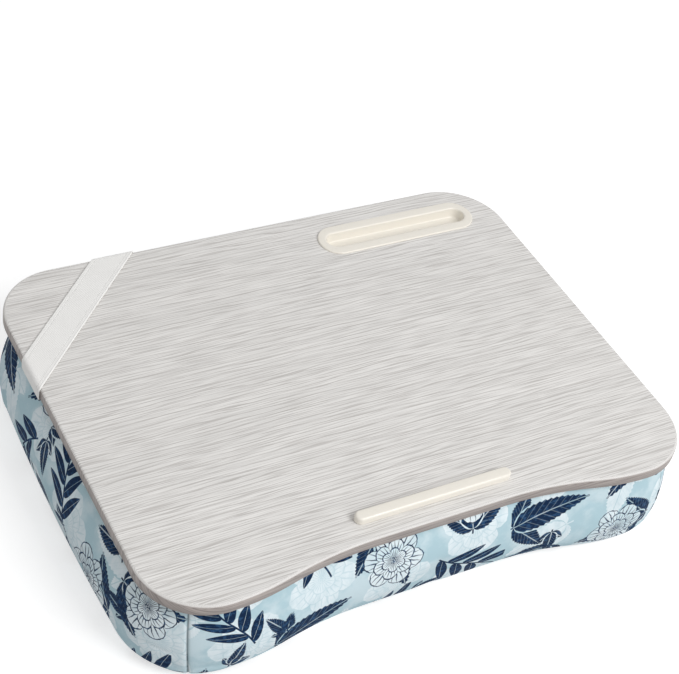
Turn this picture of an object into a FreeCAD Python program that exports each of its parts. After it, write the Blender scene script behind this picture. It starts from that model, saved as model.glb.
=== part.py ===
import FreeCAD, Part
import math
import os

import Sketcher

# Lap tray: a wood-effect board with a stop ledge, a phone holder and a corner strap,
# on a two-chamber bead cushion. Millimetres. The origin is on the floor under the middle
# of the tray, +X to the user's right, +Y away from the user, +Z up.

SIZES = (
    # Board
    ("board_width", "452"),
    ("board_depth", "348"),
    ("board_thick", "9"),
    ("corner_radius", "51"),
    ("front_dip", "14.4"),
    ("front_flat", "110"),
    ("hollow_share", "0.6112"),
    ("edge_round", "2"),
    ("foil_thick", "0.4"),
    ("glue_line", "0.05"),
    # Clearances: round a seated piece, and round the strap
    ("fit_gap", "0.2"),
    ("move_gap", "0.3"),
    # Stop ledge and its screws
    ("ledge_length", "131"),
    ("ledge_width", "9.5"),
    ("ledge_height", "6"),
    ("ledge_bevel", "1.6"),
    ("ledge_setback", "19.2"),
    ("peg_spacing", "90"),
    ("peg_diameter", "6"),
    ("screw_diameter", "3"),
    ("screw_bite", "3"),
    ("head_diameter", "6"),
    ("head_height", "1.8"),
    ("head_recess", "2.1"),
    ("screw_web", "1.6"),
    # Phone holder
    ("holder_length", "150"),
    ("holder_width", "35"),
    ("holder_end_gap", "25.5"),
    ("holder_back_line", "37"),
    ("rim_thick", "1.6"),
    ("rim_bevel", "0.8"),
    ("slot_length", "135"),
    ("slot_width", "17"),
    ("slot_draft", "10"),
    ("slot_floor", "1.5"),
    ("tub_wall", "1.8"),
    ("tub_lift", "0.4"),
    # Corner strap and staples
    ("strap_width", "25.5"),
    ("strap_thick", "1.2"),
    ("strap_reach", "106"),
    ("strap_tail_spare", "6"),
    ("staple_crown", "10"),
    ("staple_wire", "0.7"),
    ("staple_leg", "7"),
    ("staple_margin", "8"),
    ("strap_staple_gap", "1"),
    ("strap_staple_pitch", "10"),
    # Cushion
    ("cushion_height", "73"),
    ("backing_thick", "2.5"),
    ("cover_thick", "1"),
    ("cover_inset", "5"),
    ("side_bulge", "11"),
    ("side_bow", "6"),
    ("end_bulge", "3.5"),
    ("front_corner_pull", "8"),
    ("back_corner_pull", "22"),
    ("bulge_height", "30"),
    ("haunch_inset", "2.5"),
    ("bottom_round", "14"),
    ("crown_rise", "1.5"),
    ("foot_inset", "24"),
    ("seam_height", "4"),
    ("seam_turn", "34"),
    ("seam_gap", "0.3"),
    ("valley_width", "20"),
    ("channel_corner", "3"),
    ("baffle_thick", "1"),
    ("fill_gap", "0.4"),
    ("fill_headroom", "0.9"),
)

# Sections of the cover's wall: round its base, up to its widest line and in again under the board
ROUND_STEPS = 2
WAIST_STEPS = 1
SHOULDER_STEPS = 4

# Flat sides that each arc in the outline of a bag or a bottom panel is cut into
ARC_CHORDS = 6

# Staples through the cushion's backing: x or y of each along an edge, clear of the strap's tails
BACK_STAPLES = (-60, 10, 80, 150)
SIDE_STAPLES = (-90, -30, 30)
FRONT_STAPLES = (-32, 32)

doc = FreeCAD.newDocument("lap_tray")
sheet = doc.addObject("Spreadsheet::Sheet", "sizes")
for row, (alias, text) in enumerate(SIZES, start=1):
    sheet.set(f"A{row}", alias)
    sheet.set(f"B{row}", text)
    sheet.setAlias(f"B{row}", alias)
doc.recompute()

value = {alias: float(sheet.get(alias)) for alias, text in SIZES}

# Heights that several pieces share, as a number and as expressions on the sheet
UNDERSIDE = value["cushion_height"]
UNDERSIDE_AT = "sizes.cushion_height"
BOARD_TOP_AT = "sizes.cushion_height + sizes.board_thick"


def vector(x, y, z=0.0):
    return FreeCAD.Vector(x, y, z)


def new_body(label, height="0", x="0", y="0"):
    """A PartDesign body whose own origin stands at the given sheet expressions."""
    body = doc.addObject("PartDesign::Body", label)
    body.Label = label
    body.setExpression("Placement.Base.x", x)
    body.setExpression("Placement.Base.y", y)
    body.setExpression("Placement.Base.z", height)
    return body


def new_sketch(body, name, role="XY_Plane", lift=None):
    """A sketch on one of the body's origin planes, lifted along its normal."""
    sketch = body.newObject("Sketcher::SketchObject", name)
    plane = [item for item in body.Origin.OriginFeatures if item.Role == role][0]
    sketch.AttachmentSupport = [(plane, "")]
    sketch.MapMode = "FlatFace"
    if lift:
        sketch.setExpression("AttachmentOffset.Base.z", lift)
    return sketch


def constrain(sketch, *words, bind=None):
    """Add one constraint and, for a dimension, bind it to a sheet expression."""
    index = sketch.addConstraint(Sketcher.Constraint(*words))
    if bind:
        sketch.setExpression(f"Constraints[{index}]", bind)
    return index


def pad(body, sketch, name, length, down=False):
    feature = body.newObject("PartDesign::Pad", name)
    feature.Profile = sketch
    feature.setExpression("Length", length)
    feature.Reversed = down
    doc.recompute()
    return feature


def pocket(body, sketch, name, length, up=False, taper=None):
    """Cut the sketch into the body and make sure that it took something away."""
    before = body.Shape.Volume
    feature = body.newObject("PartDesign::Pocket", name)
    feature.Profile = sketch
    feature.setExpression("Length", length)
    feature.Reversed = up
    if taper:
        feature.setExpression("TaperAngle", taper)
    doc.recompute()
    if body.Shape.Volume > before - 1e-6:
        raise RuntimeError(f"{body.Label}: {name} cuts nothing")
    return feature


def picked_edges(base, wanted):
    return [f"Edge{i}" for i, edge in enumerate(base.Shape.Edges, start=1) if wanted(edge)]


def round_edges(body, base, name, radius, wanted):
    """Fillet the edges of the base feature that the test picks."""
    feature = body.newObject("PartDesign::Fillet", name)
    feature.Base = (base, picked_edges(base, wanted))
    feature.setExpression("Radius", radius)
    doc.recompute()
    return feature


def bevel_edges(body, base, name, size, wanted):
    """Chamfer the edges of the base feature that the test picks."""
    feature = body.newObject("PartDesign::Chamfer", name)
    feature.Base = (base, picked_edges(base, wanted))
    feature.setExpression("Size", size)
    doc.recompute()
    return feature


def level_edge(height):
    """Test for edges that lie at one height of the body's own frame."""
    def test(edge):
        return all(abs(point.Point.z - height) < 1e-5 for point in edge.Vertexes)
    return test


# Plan outline of the board and of every cushion section


def plan(inset, soft=False):
    """Numbers of the plan outline drawn in by an inset: the board's, or the soft cushion's.

    The cushion swells past the board's sides and ends, its sides bow and its corners are
    pulled in. Each inset outline runs parallel to the first, so its arcs keep their centres.
    """
    side, end, bow, front_pull, back_pull = (0.0,) * 5
    if soft:
        side, end, bow = value["side_bulge"], value["end_bulge"], value["side_bow"]
        front_pull, back_pull = value["front_corner_pull"], value["back_corner_pull"]
    half = value["board_width"] / 2 + side
    reach = value["board_depth"] / 2 + end
    corner = value["corner_radius"] + (side + end) / 2
    front_corner, back_corner = corner + front_pull, corner + back_pull
    low, high = front_corner - reach, reach - back_corner
    side_radius = front_tilt = back_tilt = 0.0
    front_start, back_start = half - front_corner, half - back_corner
    if bow > 0:
        span = (high - low) / 2
        side_radius = (span ** 2 + bow ** 2) / (2 * bow)
        front_tilt = math.asin(span / (side_radius - front_corner))
        back_tilt = math.asin(span / (side_radius - back_corner))
        front_start = half - side_radius + (side_radius - front_corner) * math.cos(front_tilt)
        back_start = half - side_radius + (side_radius - back_corner) * math.cos(back_tilt)
    flat = value["front_flat"] / 2
    run, dip = front_start - flat, value["front_dip"]
    both = (run ** 2 + dip ** 2) / (2 * dip)
    hollow = both * value["hollow_share"]
    return {
        "half": half - inset,
        "back": reach - inset,
        "front": inset - reach,
        "dip": dip - reach + inset,
        "low": low,
        "high": high,
        "front_corner": front_corner - inset,
        "back_corner": back_corner - inset,
        "front_start": front_start,
        "back_start": back_start,
        "front_tilt": math.degrees(front_tilt),
        "back_tilt": math.degrees(back_tilt),
        "side_radius": side_radius - inset if soft else 0.0,
        "flat": flat,
        "turn": math.degrees(2 * math.atan(dip / run)),
        "hollow": hollow + inset,
        "lobe": both - hollow - inset,
    }


def front_run(p):
    """Front edge from the left corner's lowest point to the right one's, as arcs and a line."""
    start = p["front_start"]
    return [
        ("arc", -start, p["front"] + p["lobe"], p["lobe"], 270, 270 + p["turn"]),
        ("arc", -p["flat"], p["dip"] - p["hollow"], p["hollow"], 90 + p["turn"], 90),
        ("line", -p["flat"], p["dip"], p["flat"], p["dip"]),
        ("arc", p["flat"], p["dip"] - p["hollow"], p["hollow"], 90, 90 - p["turn"]),
        ("arc", start, p["front"] + p["lobe"], p["lobe"], 270 - p["turn"], 270),
    ]


def back_line(p):
    return ("line", p["back_start"], p["back"], -p["back_start"], p["back"])


def corner_arc(p, side, end, first, last):
    """Corner on the right (side 1) or left (side -1), at the named end."""
    y = p["high"] if end == "back" else p["low"]
    return ("arc", side * p[f"{end}_start"], y, p[f"{end}_corner"], first, last)


def right_side(p):
    """Right side from front to back: a line, or a shallow arc where the cover swells."""
    if p["side_radius"] == 0:
        return ("line", p["half"], p["low"], p["half"], p["high"])
    x = p["half"] - p["side_radius"]
    y = (p["low"] + p["high"]) / 2
    return ("arc", x, y, p["side_radius"], -p["front_tilt"], p["back_tilt"])


def whole_path(p):
    """The whole outline, anticlockwise from the right side's front end."""
    right = right_side(p)
    if right[0] == "line":
        left = ("line", -p["half"], p["high"], -p["half"], p["low"])
    else:
        left = ("arc", -right[1], *right[2:4], 180 - p["back_tilt"], 180 + p["front_tilt"])
    return [
        right,
        corner_arc(p, 1, "back", p["back_tilt"], 90),
        back_line(p),
        corner_arc(p, -1, "back", 90, 180 - p["back_tilt"]),
        left,
        corner_arc(p, -1, "front", 180 + p["front_tilt"], 270),
        *front_run(p),
        corner_arc(p, 1, "front", 270, 360 - p["front_tilt"]),
    ]


def seam_half(radius):
    """Half the gap at a corner seam, as degrees of the corner."""
    return math.degrees(value["seam_gap"] / 2 / radius)


def front_path(p):
    turn = value["seam_turn"] - seam_half(p["front_corner"])
    left = corner_arc(p, -1, "front", 270 - turn, 270)
    right = corner_arc(p, 1, "front", 270, 270 + turn)
    return [left] + front_run(p) + [right]


def right_path(p):
    front_turn = value["seam_turn"] + seam_half(p["front_corner"])
    back_turn = value["seam_turn"] + seam_half(p["back_corner"])
    front = corner_arc(p, 1, "front", 270 + front_turn, 360 - p["front_tilt"])
    back = corner_arc(p, 1, "back", p["back_tilt"], 90 - back_turn)
    return [front, right_side(p), back]


def back_path(p):
    turn = value["seam_turn"] - seam_half(p["back_corner"])
    right = corner_arc(p, 1, "back", 90 - turn, 90)
    left = corner_arc(p, -1, "back", 90, 90 + turn)
    return [right, back_line(p), left]


def right_half_path(p, middle, corner):
    """Right half of the outline, closed along x = middle with two small rounded corners."""
    inner = middle + corner
    low = p["dip"] + corner
    high = p["back"] - corner
    return [
        ("line", inner, p["dip"], p["flat"], p["dip"]),
        *front_run(p)[3:],
        corner_arc(p, 1, "front", 270, 360 - p["front_tilt"]),
        right_side(p),
        corner_arc(p, 1, "back", p["back_tilt"], 90),
        ("line", p["back_start"], p["back"], inner, p["back"]),
        ("arc", inner, high, corner, 90, 180),
        ("line", middle, high, middle, low),
        ("arc", inner, low, corner, 180, 270),
    ]


def reverse(path):
    """The same path walked the other way."""
    turned = []
    for piece in reversed(path):
        if piece[0] == "arc":
            turned.append((*piece[:4], piece[5], piece[4]))
        else:
            turned.append(("line", *piece[3:5], *piece[1:3]))
    return turned


def path_point(piece, share, height):
    """Point of a path piece at a share of its length."""
    if piece[0] == "line":
        x = piece[1] + (piece[3] - piece[1]) * share
        y = piece[2] + (piece[4] - piece[2]) * share
        return vector(x, y, height)
    angle = math.radians(piece[4] + (piece[5] - piece[4]) * share)
    return vector(piece[1] + piece[3] * math.cos(angle), piece[2] + piece[3] * math.sin(angle), height)


def path_edges(path, height):
    edges = []
    for piece in path:
        ends = [path_point(piece, share, height) for share in (0, 0.5, 1)]
        if piece[0] == "line":
            edges.append(Part.LineSegment(ends[0], ends[2]).toShape())
        else:
            edges.append(Part.Arc(*ends).toShape())
    return edges


def band_wire(outer, inner, height):
    """Closed section of a panel: its outer path, its inner path and the two cut ends."""
    back_run = reverse(inner)
    first = path_point(outer[0], 0, height)
    turn = path_point(outer[-1], 1, height)
    inside = path_point(back_run[0], 0, height)
    last = path_point(back_run[-1], 1, height)
    edges = path_edges(outer, height)
    edges.append(Part.LineSegment(turn, inside).toShape())
    edges += path_edges(back_run, height)
    edges.append(Part.LineSegment(last, first).toShape())
    return Part.Wire(edges)


def outline_sketch(body, name, inset="0", lift=None):
    """Fully constrained sketch of the plan outline, drawn in by a sheet expression."""
    shrink = float(sheet.evalExpression(inset))
    p = plan(shrink)
    sketch = new_sketch(body, name, lift=lift)
    # A circle's arc runs anticlockwise, so the two hollow arcs start at their far ends
    starts = []
    for piece in whole_path(p):
        if piece[0] == "line":
            line = Part.LineSegment(vector(*piece[1:3]), vector(*piece[3:5]))
            sketch.addGeometry(line)
            starts.append(1)
        else:
            first, last = sorted(piece[4:6])
            circle = Part.Circle(vector(*piece[1:3]), vector(0, 0, 1), piece[3])
            sketch.addGeometry(Part.ArcOfCircle(circle, math.radians(first), math.radians(last)))
            starts.append(1 if piece[4] == first else 2)
    right, back_right, back, back_left, left, front_left = range(6)
    lobe_left, hollow_left, front, hollow_right, lobe_right, front_right = range(6, 12)
    for here in range(12):
        after = (here + 1) % 12
        constrain(sketch, "Tangent", here, 3 - starts[here], after, starts[after])
    constrain(sketch, "Vertical", right)
    constrain(sketch, "Vertical", left)
    constrain(sketch, "Symmetric", back, 1, back, 2, -2)
    constrain(sketch, "Symmetric", front, 1, front, 2, -2)
    constrain(sketch, "Vertical", front_left, 3, lobe_left, 3)
    constrain(sketch, "Vertical", front_right, 3, lobe_right, 3)
    for other in (back_left, front_left, front_right):
        constrain(sketch, "Equal", back_right, other)
    constrain(sketch, "Equal", hollow_left, hollow_right)
    constrain(sketch, "Equal", lobe_left, lobe_right)
    depth = 2 * p["back"]
    constrain(sketch, "Radius", back_right, p["back_corner"], bind=f"sizes.corner_radius - ({inset})")
    constrain(sketch, "Radius", hollow_left, p["hollow"], bind=f"{FRONT_RADII} * sizes.hollow_share + {inset}")
    constrain(sketch, "DistanceX", left, 1, right, 2, 2 * p["half"], bind=f"sizes.board_width - 2 * ({inset})")
    constrain(sketch, "DistanceY", front_left, 2, back, 1, depth, bind=f"sizes.board_depth - 2 * ({inset})")
    constrain(sketch, "DistanceY", -1, 1, back, 1, depth / 2, bind=f"sizes.board_depth / 2 - ({inset})")
    constrain(sketch, "DistanceY", front_left, 2, front, 1, value["front_dip"], bind="sizes.front_dip")
    constrain(sketch, "DistanceX", front, 1, front, 2, value["front_flat"], bind="sizes.front_flat")
    return sketch


def stadium_sketch(body, name, length, width, lift=None, at=("0", "0")):
    """Round-ended slot shape, centred on a point given by two sheet expressions."""
    x = float(sheet.evalExpression(at[0]))
    y = float(sheet.evalExpression(at[1]))
    span = float(sheet.evalExpression(f"({length}) - ({width})"))
    radius = float(sheet.evalExpression(width)) / 2
    near, far = x - span / 2, x + span / 2
    sketch = new_sketch(body, name, lift=lift)
    up = vector(0, 0, 1)
    quarter = math.pi / 2
    sketch.addGeometry(Part.LineSegment(vector(near, y - radius), vector(far, y - radius)))
    sketch.addGeometry(Part.ArcOfCircle(Part.Circle(vector(far, y), up, radius), -quarter, quarter))
    sketch.addGeometry(Part.LineSegment(vector(far, y + radius), vector(near, y + radius)))
    sketch.addGeometry(Part.ArcOfCircle(Part.Circle(vector(near, y), up, radius), quarter, 3 * quarter))
    for here in range(4):
        constrain(sketch, "Tangent", here, 2, (here + 1) % 4, 1)
    constrain(sketch, "Horizontal", 0)
    constrain(sketch, "Horizontal", 2)
    constrain(sketch, "Radius", 1, radius, bind=f"({width}) / 2")
    constrain(sketch, "DistanceX", 3, 3, 1, 3, span, bind=f"({length}) - ({width})")
    constrain(sketch, "DistanceX", -1, 1, 1, 3, far, bind=f"{at[0]} + (({length}) - ({width})) / 2")
    constrain(sketch, "DistanceY", -1, 1, 1, 3, y, bind=at[1])
    return sketch


def circle_pair_sketch(body, name, diameter, spacing, back_by, lift=None):
    """Two equal circles side by side, a sheet expression in front of the body's origin."""
    radius = float(sheet.evalExpression(diameter)) / 2
    half = float(sheet.evalExpression(spacing)) / 2
    y = float(sheet.evalExpression(back_by))
    sketch = new_sketch(body, name, lift=lift)
    for index, side in enumerate((-1, 1)):
        sketch.addGeometry(Part.Circle(vector(side * half, -y), vector(0, 0, 1), radius))
        constrain(sketch, "Radius", index, radius, bind=f"({diameter}) / 2")
    constrain(sketch, "DistanceX", 0, 3, 1, 3, 2 * half, bind=spacing)
    constrain(sketch, "DistanceX", -1, 1, 1, 3, half, bind=f"({spacing}) / 2")
    for index in range(2):
        constrain(sketch, "DistanceY", index, 3, -1, 1, y, bind=back_by)
    return sketch


# Board


FRONT_RUN = "(sizes.board_width / 2 - sizes.corner_radius - sizes.front_flat / 2)"
FRONT_RADII = f"({FRONT_RUN} ^ 2 + sizes.front_dip ^ 2) / (2 * sizes.front_dip)"
CORE_INSET = "sizes.foil_thick + sizes.glue_line"
LEDGE_LINE = "sizes.board_depth / 2 - sizes.front_dip - sizes.ledge_setback"
HOLDER_X = "sizes.board_width / 2 - sizes.holder_end_gap - sizes.holder_length / 2"
HOLDER_Y = "sizes.board_depth / 2 - sizes.holder_back_line"
TUB_LENGTH = "sizes.slot_length + 2 * sizes.tub_wall"
TUB_WIDTH = "sizes.slot_width + 2 * sizes.tub_wall"
CUTOUT_LENGTH = "sizes.slot_length + 2 * sizes.tub_wall + 2 * sizes.fit_gap"
CUTOUT_WIDTH = "sizes.slot_width + 2 * sizes.tub_wall + 2 * sizes.fit_gap"
PEG_HOLE = "sizes.peg_diameter + 2 * sizes.fit_gap"
SCREW_HOLE = "sizes.screw_diameter + 2 * sizes.fit_gap"
HEAD_HOLE = "sizes.head_diameter + 2 * sizes.fit_gap"
PEG_FLOOR = "sizes.head_recess + sizes.screw_web"


def board_blank(label, inset):
    """Outline drawn in by a sheet expression, its top edge bevelled just inside the outer rounding."""
    body = new_body(label, UNDERSIDE_AT)
    height = f"sizes.board_thick - ({inset})"
    blank = pad(body, outline_sketch(body, f"{label}_outline", inset), f"{label}_pad", height)
    bevel = f"(sizes.edge_round - ({inset})) * (2 - sqrt(2))"
    bevel_edges(body, blank, f"{label}_bevel", bevel, level_edge(float(sheet.evalExpression(height))))
    return body


def make_board_core():
    """Fibreboard core: bevelled blank with the holder's cut-out and the peg and screw holes."""
    body = board_blank("board_core", CORE_INSET)
    cutout = stadium_sketch(body, "holder_cutout", CUTOUT_LENGTH, CUTOUT_WIDTH, at=(HOLDER_X, HOLDER_Y))
    pocket(body, cutout, "holder_opening", "sizes.board_thick", up=True)
    heads = circle_pair_sketch(body, "head_circles", HEAD_HOLE, "sizes.peg_spacing", LEDGE_LINE)
    pocket(body, heads, "head_recesses", "sizes.head_recess", up=True)
    screws = circle_pair_sketch(body, "screw_circles", SCREW_HOLE, "sizes.peg_spacing", LEDGE_LINE)
    pocket(body, screws, "screw_holes", "sizes.board_thick", up=True)
    pegs = circle_pair_sketch(body, "peg_circles", PEG_HOLE, "sizes.peg_spacing", LEDGE_LINE, lift=PEG_FLOOR)
    pocket(body, pegs, "peg_holes", "sizes.board_thick", up=True)
    return body


def make_woodgrain_foil():
    """Wood-effect foil: a skin over the core's top and edges, open below, with the same holes."""
    body = new_body("foil_block", UNDERSIDE_AT)
    blank = pad(body, outline_sketch(body, "foil_outline"), "foil_pad", "sizes.board_thick")
    round_edges(body, blank, "foil_round", "sizes.edge_round", level_edge(value["board_thick"]))
    cutout = stadium_sketch(body, "foil_cutout", CUTOUT_LENGTH, CUTOUT_WIDTH, at=(HOLDER_X, HOLDER_Y))
    pocket(body, cutout, "foil_opening", "sizes.board_thick + sizes.foil_thick", up=True)
    pegs = circle_pair_sketch(body, "foil_circles", PEG_HOLE, "sizes.peg_spacing", LEDGE_LINE)
    pocket(body, pegs, "foil_holes", "sizes.board_thick + sizes.foil_thick", up=True)
    foil = doc.addObject("Part::Cut", "woodgrain_foil")
    foil.Base = body
    foil.Tool = board_blank("foil_void", "sizes.foil_thick")
    doc.recompute()
    return foil


# Stop ledge and its screws


def make_device_ledge():
    """Moulded bar with a bevelled top, two pegs that go into the board and a pilot hole in each."""
    body = new_body("device_ledge", BOARD_TOP_AT, y=f"-({LEDGE_LINE})")
    bar_shape = stadium_sketch(body, "ledge_plan", "sizes.ledge_length", "sizes.ledge_width")
    bar = pad(body, bar_shape, "ledge_bar", "sizes.ledge_height")
    bevel_edges(body, bar, "ledge_crown", "sizes.ledge_bevel", level_edge(value["ledge_height"]))
    pegs = circle_pair_sketch(body, "ledge_peg_plan", "sizes.peg_diameter", "sizes.peg_spacing", "0")
    peg_length = f"sizes.board_thick - ({PEG_FLOOR}) - sizes.fit_gap"
    pad(body, pegs, "ledge_pegs", peg_length, down=True)
    pilot = "sizes.screw_diameter + sizes.fit_gap / 2"
    bores = circle_pair_sketch(body, "pilot_plan", pilot, "sizes.peg_spacing", "0", lift=f"-({peg_length})")
    depth = f"{peg_length} + sizes.screw_bite + sizes.fit_gap"
    pocket(body, bores, "pilot_holes", depth, up=True)
    return body


def make_ledge_screws():
    """Two pan-head screws that hold the ledge from under the board."""
    screw = new_body("right_screw", UNDERSIDE_AT, x="sizes.peg_spacing / 2", y=f"-({LEDGE_LINE})")
    seat = value["head_recess"]
    tip = value["board_thick"] + value["screw_bite"]
    head = value["head_diameter"] / 2
    shank = value["screw_diameter"] / 2
    base = seat - value["head_height"]
    corners = [(0, base), (head, base), (head, seat), (shank, seat), (shank, tip), (0, tip)]
    sketch = new_sketch(screw, "screw_profile", role="XZ_Plane")
    for here, there in zip(corners, corners[1:] + corners[:1]):
        sketch.addGeometry(Part.LineSegment(vector(*here), vector(*there)))
    for here in range(6):
        constrain(sketch, "Coincident", here, 2, (here + 1) % 6, 1)
    for here in (0, 2, 4):
        constrain(sketch, "Horizontal", here)
    for here in (1, 3):
        constrain(sketch, "Vertical", here)
    constrain(sketch, "PointOnObject", 0, 1, -2)
    constrain(sketch, "PointOnObject", 4, 2, -2)
    constrain(sketch, "DistanceX", 0, 1, 0, 2, head, bind="sizes.head_diameter / 2")
    constrain(sketch, "DistanceX", 4, 2, 4, 1, shank, bind="sizes.screw_diameter / 2")
    constrain(sketch, "DistanceY", -1, 1, 1, 2, seat, bind="sizes.head_recess")
    constrain(sketch, "DistanceY", 1, 1, 1, 2, seat - base, bind="sizes.head_height")
    constrain(sketch, "DistanceY", -1, 1, 4, 1, tip, bind="sizes.board_thick + sizes.screw_bite")
    turned = screw.newObject("PartDesign::Revolution", "screw_turned")
    turned.Profile = sketch
    turned.ReferenceAxis = (sketch, ["V_Axis"])
    turned.Angle = 360
    doc.recompute()
    mirrored = doc.addObject("Part::Mirroring", "left_screw")
    mirrored.Source = screw
    mirrored.Normal = vector(1, 0, 0)
    pair = doc.addObject("Part::Compound", "ledge_screws")
    pair.Links = [screw, mirrored]
    doc.recompute()
    return pair


# Phone holder


def make_phone_holder():
    """Moulded insert: a bevelled rim on the board, a tub through it and a drafted slot."""
    body = new_body("phone_holder", BOARD_TOP_AT, x=HOLDER_X, y=HOLDER_Y)
    rim_shape = stadium_sketch(body, "rim_plan", "sizes.holder_length", "sizes.holder_width")
    rim = pad(body, rim_shape, "rim", "sizes.rim_thick")
    bevel_edges(body, rim, "rim_soft_edge", "sizes.rim_bevel", level_edge(value["rim_thick"]))
    tub = stadium_sketch(body, "tub_plan", TUB_LENGTH, TUB_WIDTH)
    pad(body, tub, "tub", "sizes.board_thick - sizes.tub_lift", down=True)
    slot = stadium_sketch(body, "slot_plan", "sizes.slot_length", "sizes.slot_width", lift="sizes.rim_thick")
    depth = "sizes.board_thick - sizes.tub_lift + sizes.rim_thick - sizes.slot_floor"
    pocket(body, slot, "slot", depth, taper="-sizes.slot_draft")
    return body


# Corner strap


def strap_band(grow, spare=0.0):
    """Corners of the strap's plan, between the left and back edges moved out by grow."""
    left = -value["board_width"] / 2 - grow
    back = value["board_depth"] / 2 + grow
    offset = value["board_depth"] / 2 - value["strap_reach"] + value["board_width"] / 2
    half = (value["strap_width"] / 2 + spare) * math.sqrt(2)
    outer, inner = offset + half, offset - half
    return [
        vector(left, left + inner),
        vector(back - inner, back),
        vector(back - outer, back),
        vector(left, left + outer),
    ]


def tail_corners(grow, spare, tail, at_left):
    """Corners of one end of the band, from past the board's edge to the end of its tail."""
    corners = strap_band(grow, spare)
    ends = (corners[3], corners[0]) if at_left else (corners[1], corners[2])
    step = tail / math.sqrt(2) + grow
    inward = vector(step, step) if at_left else vector(-step, -step)
    return [ends[0], ends[1], ends[1] + inward, ends[0] + inward]


def polygon_sketch(body, name, polygons, lift=None):
    """Closed polygons whose corners follow the sheet through this source."""
    sketch = new_sketch(body, name, lift=lift)
    for corners in polygons:
        first = sketch.GeometryCount
        count = len(corners)
        for here, there in zip(corners, corners[1:] + corners[:1]):
            sketch.addGeometry(Part.LineSegment(here, there))
        for here in range(count):
            constrain(sketch, "Coincident", first + here, 2, first + (here + 1) % count, 1)
    return sketch


def strap_staple_runs():
    """Distance of each staple in a tail from the board's edge, along the strap."""
    inside = tuck_inset() - value["end_bulge"] + value["cover_thick"] + value["strap_staple_gap"]
    first = inside * math.sqrt(2) + value["staple_crown"] / 2
    return [first, first + value["strap_staple_pitch"]]


def strap_tail():
    """Length of a tail under the board, along the strap."""
    return strap_staple_runs()[-1] + value["strap_tail_spare"]


def strap_staple_places():
    """Middle and turn of each staple through the strap's two tails."""
    left = -value["board_width"] / 2
    back = value["board_depth"] / 2
    reach = value["strap_reach"]
    places = []
    for start, sign in ((vector(left, back - reach), 1), (vector(left + reach, back), -1)):
        for along in strap_staple_runs():
            step = sign * along / math.sqrt(2)
            places.append((start + vector(step, step), -45))
    return places


def leg_points(middle, turn):
    """Centres of a staple's two legs."""
    angle = math.radians(turn)
    reach = (value["staple_crown"] - value["staple_wire"]) / 2
    step = vector(reach * math.cos(angle), reach * math.sin(angle))
    return [middle + step, middle - step]


def make_elastic_strap():
    """Elastic band across the back left corner, wrapped over both edges, its tails stapled below."""
    skin = value["move_gap"] + value["strap_thick"]
    wrap = "sizes.move_gap + sizes.strap_thick"
    body = new_body("elastic_strap", f"{UNDERSIDE_AT} - ({wrap})")
    blank = pad(
        body,
        polygon_sketch(body, "strap_plan", [strap_band(skin)]),
        "strap_blank",
        f"sizes.board_thick + 2 * ({wrap})",
    )
    height = value["board_thick"] + 2 * skin

    def folds(level):
        at_level = level_edge(level)

        def test(edge):
            run = edge.Vertexes[1].Point - edge.Vertexes[0].Point
            return at_level(edge) and min(abs(run.x), abs(run.y)) < 1e-5
        return test

    upper = round_edges(body, blank, "strap_top_folds", f"sizes.edge_round + {wrap}", folds(height))
    lower = round_edges(body, upper, "strap_low_folds", wrap, folds(0))
    sides = []
    for index, face in enumerate(lower.Shape.Faces, start=1):
        normal = face.normalAt(0, 0)
        if abs(abs(normal.x) - abs(normal.y)) < 1e-5 and abs(normal.z) < 1e-5:
            sides.append(f"Face{index}")
    shell = body.newObject("PartDesign::Thickness", "strap_loop")
    shell.Base = (lower, sides)
    shell.setExpression("Value", "sizes.strap_thick")
    shell.Reversed = True
    doc.recompute()
    spare = value["strap_width"]
    left_end = tail_corners(skin, spare, strap_tail(), True)[2:]
    back_end = tail_corners(skin, spare, strap_tail(), False)[2:]
    gap = polygon_sketch(body, "strap_gap_plan", [[left_end[1], left_end[0], back_end[1], back_end[0]]])
    pocket(body, gap, "strap_gap", "sizes.strap_thick + sizes.move_gap / 2", up=True)
    hole = value["staple_wire"] / 2 + value["move_gap"]
    squares = []
    for place, turn in strap_staple_places():
        for leg in leg_points(place, turn):
            squares.append([leg + vector(x * hole, y * hole) for x, y in ((-1, -1), (1, -1), (1, 1), (-1, 1))])
    legs = polygon_sketch(body, "strap_leg_plan", squares)
    pocket(body, legs, "strap_leg_holes", "sizes.strap_thick + sizes.move_gap / 2", up=True)
    return body


# Staples


def staple_shape(middle, turn, top):
    """U-shaped wire staple with its crown's upper face at the given height and its legs up."""
    crown, wire = value["staple_crown"], value["staple_wire"]
    leg = value["staple_leg"]
    bridge = Part.makeBox(crown, wire, wire, vector(-crown / 2, -wire / 2, -wire))
    left = Part.makeBox(wire, wire, leg + wire, vector(-crown / 2, -wire / 2, -wire))
    right = Part.makeBox(wire, wire, leg + wire, vector(crown / 2 - wire, -wire / 2, -wire))
    staple = bridge.fuse([left, right]).removeSplitter()
    staple.rotate(vector(0, 0, 0), vector(0, 0, 1), turn)
    staple.translate(vector(middle.x, middle.y, top))
    return staple


def solid_feature(label, shape):
    """A document object for a shape that Part's own functions make."""
    feature = doc.addObject("Part::Feature", label)
    feature.Label = label
    feature.Shape = shape
    feature.Placement = FreeCAD.Placement()
    return feature


def make_strap_staples():
    top = UNDERSIDE - value["move_gap"] - value["strap_thick"] - value["glue_line"]
    staples = [staple_shape(middle, turn, top) for middle, turn in strap_staple_places()]
    return solid_feature("strap_staples", Part.makeCompound(staples))


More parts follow.
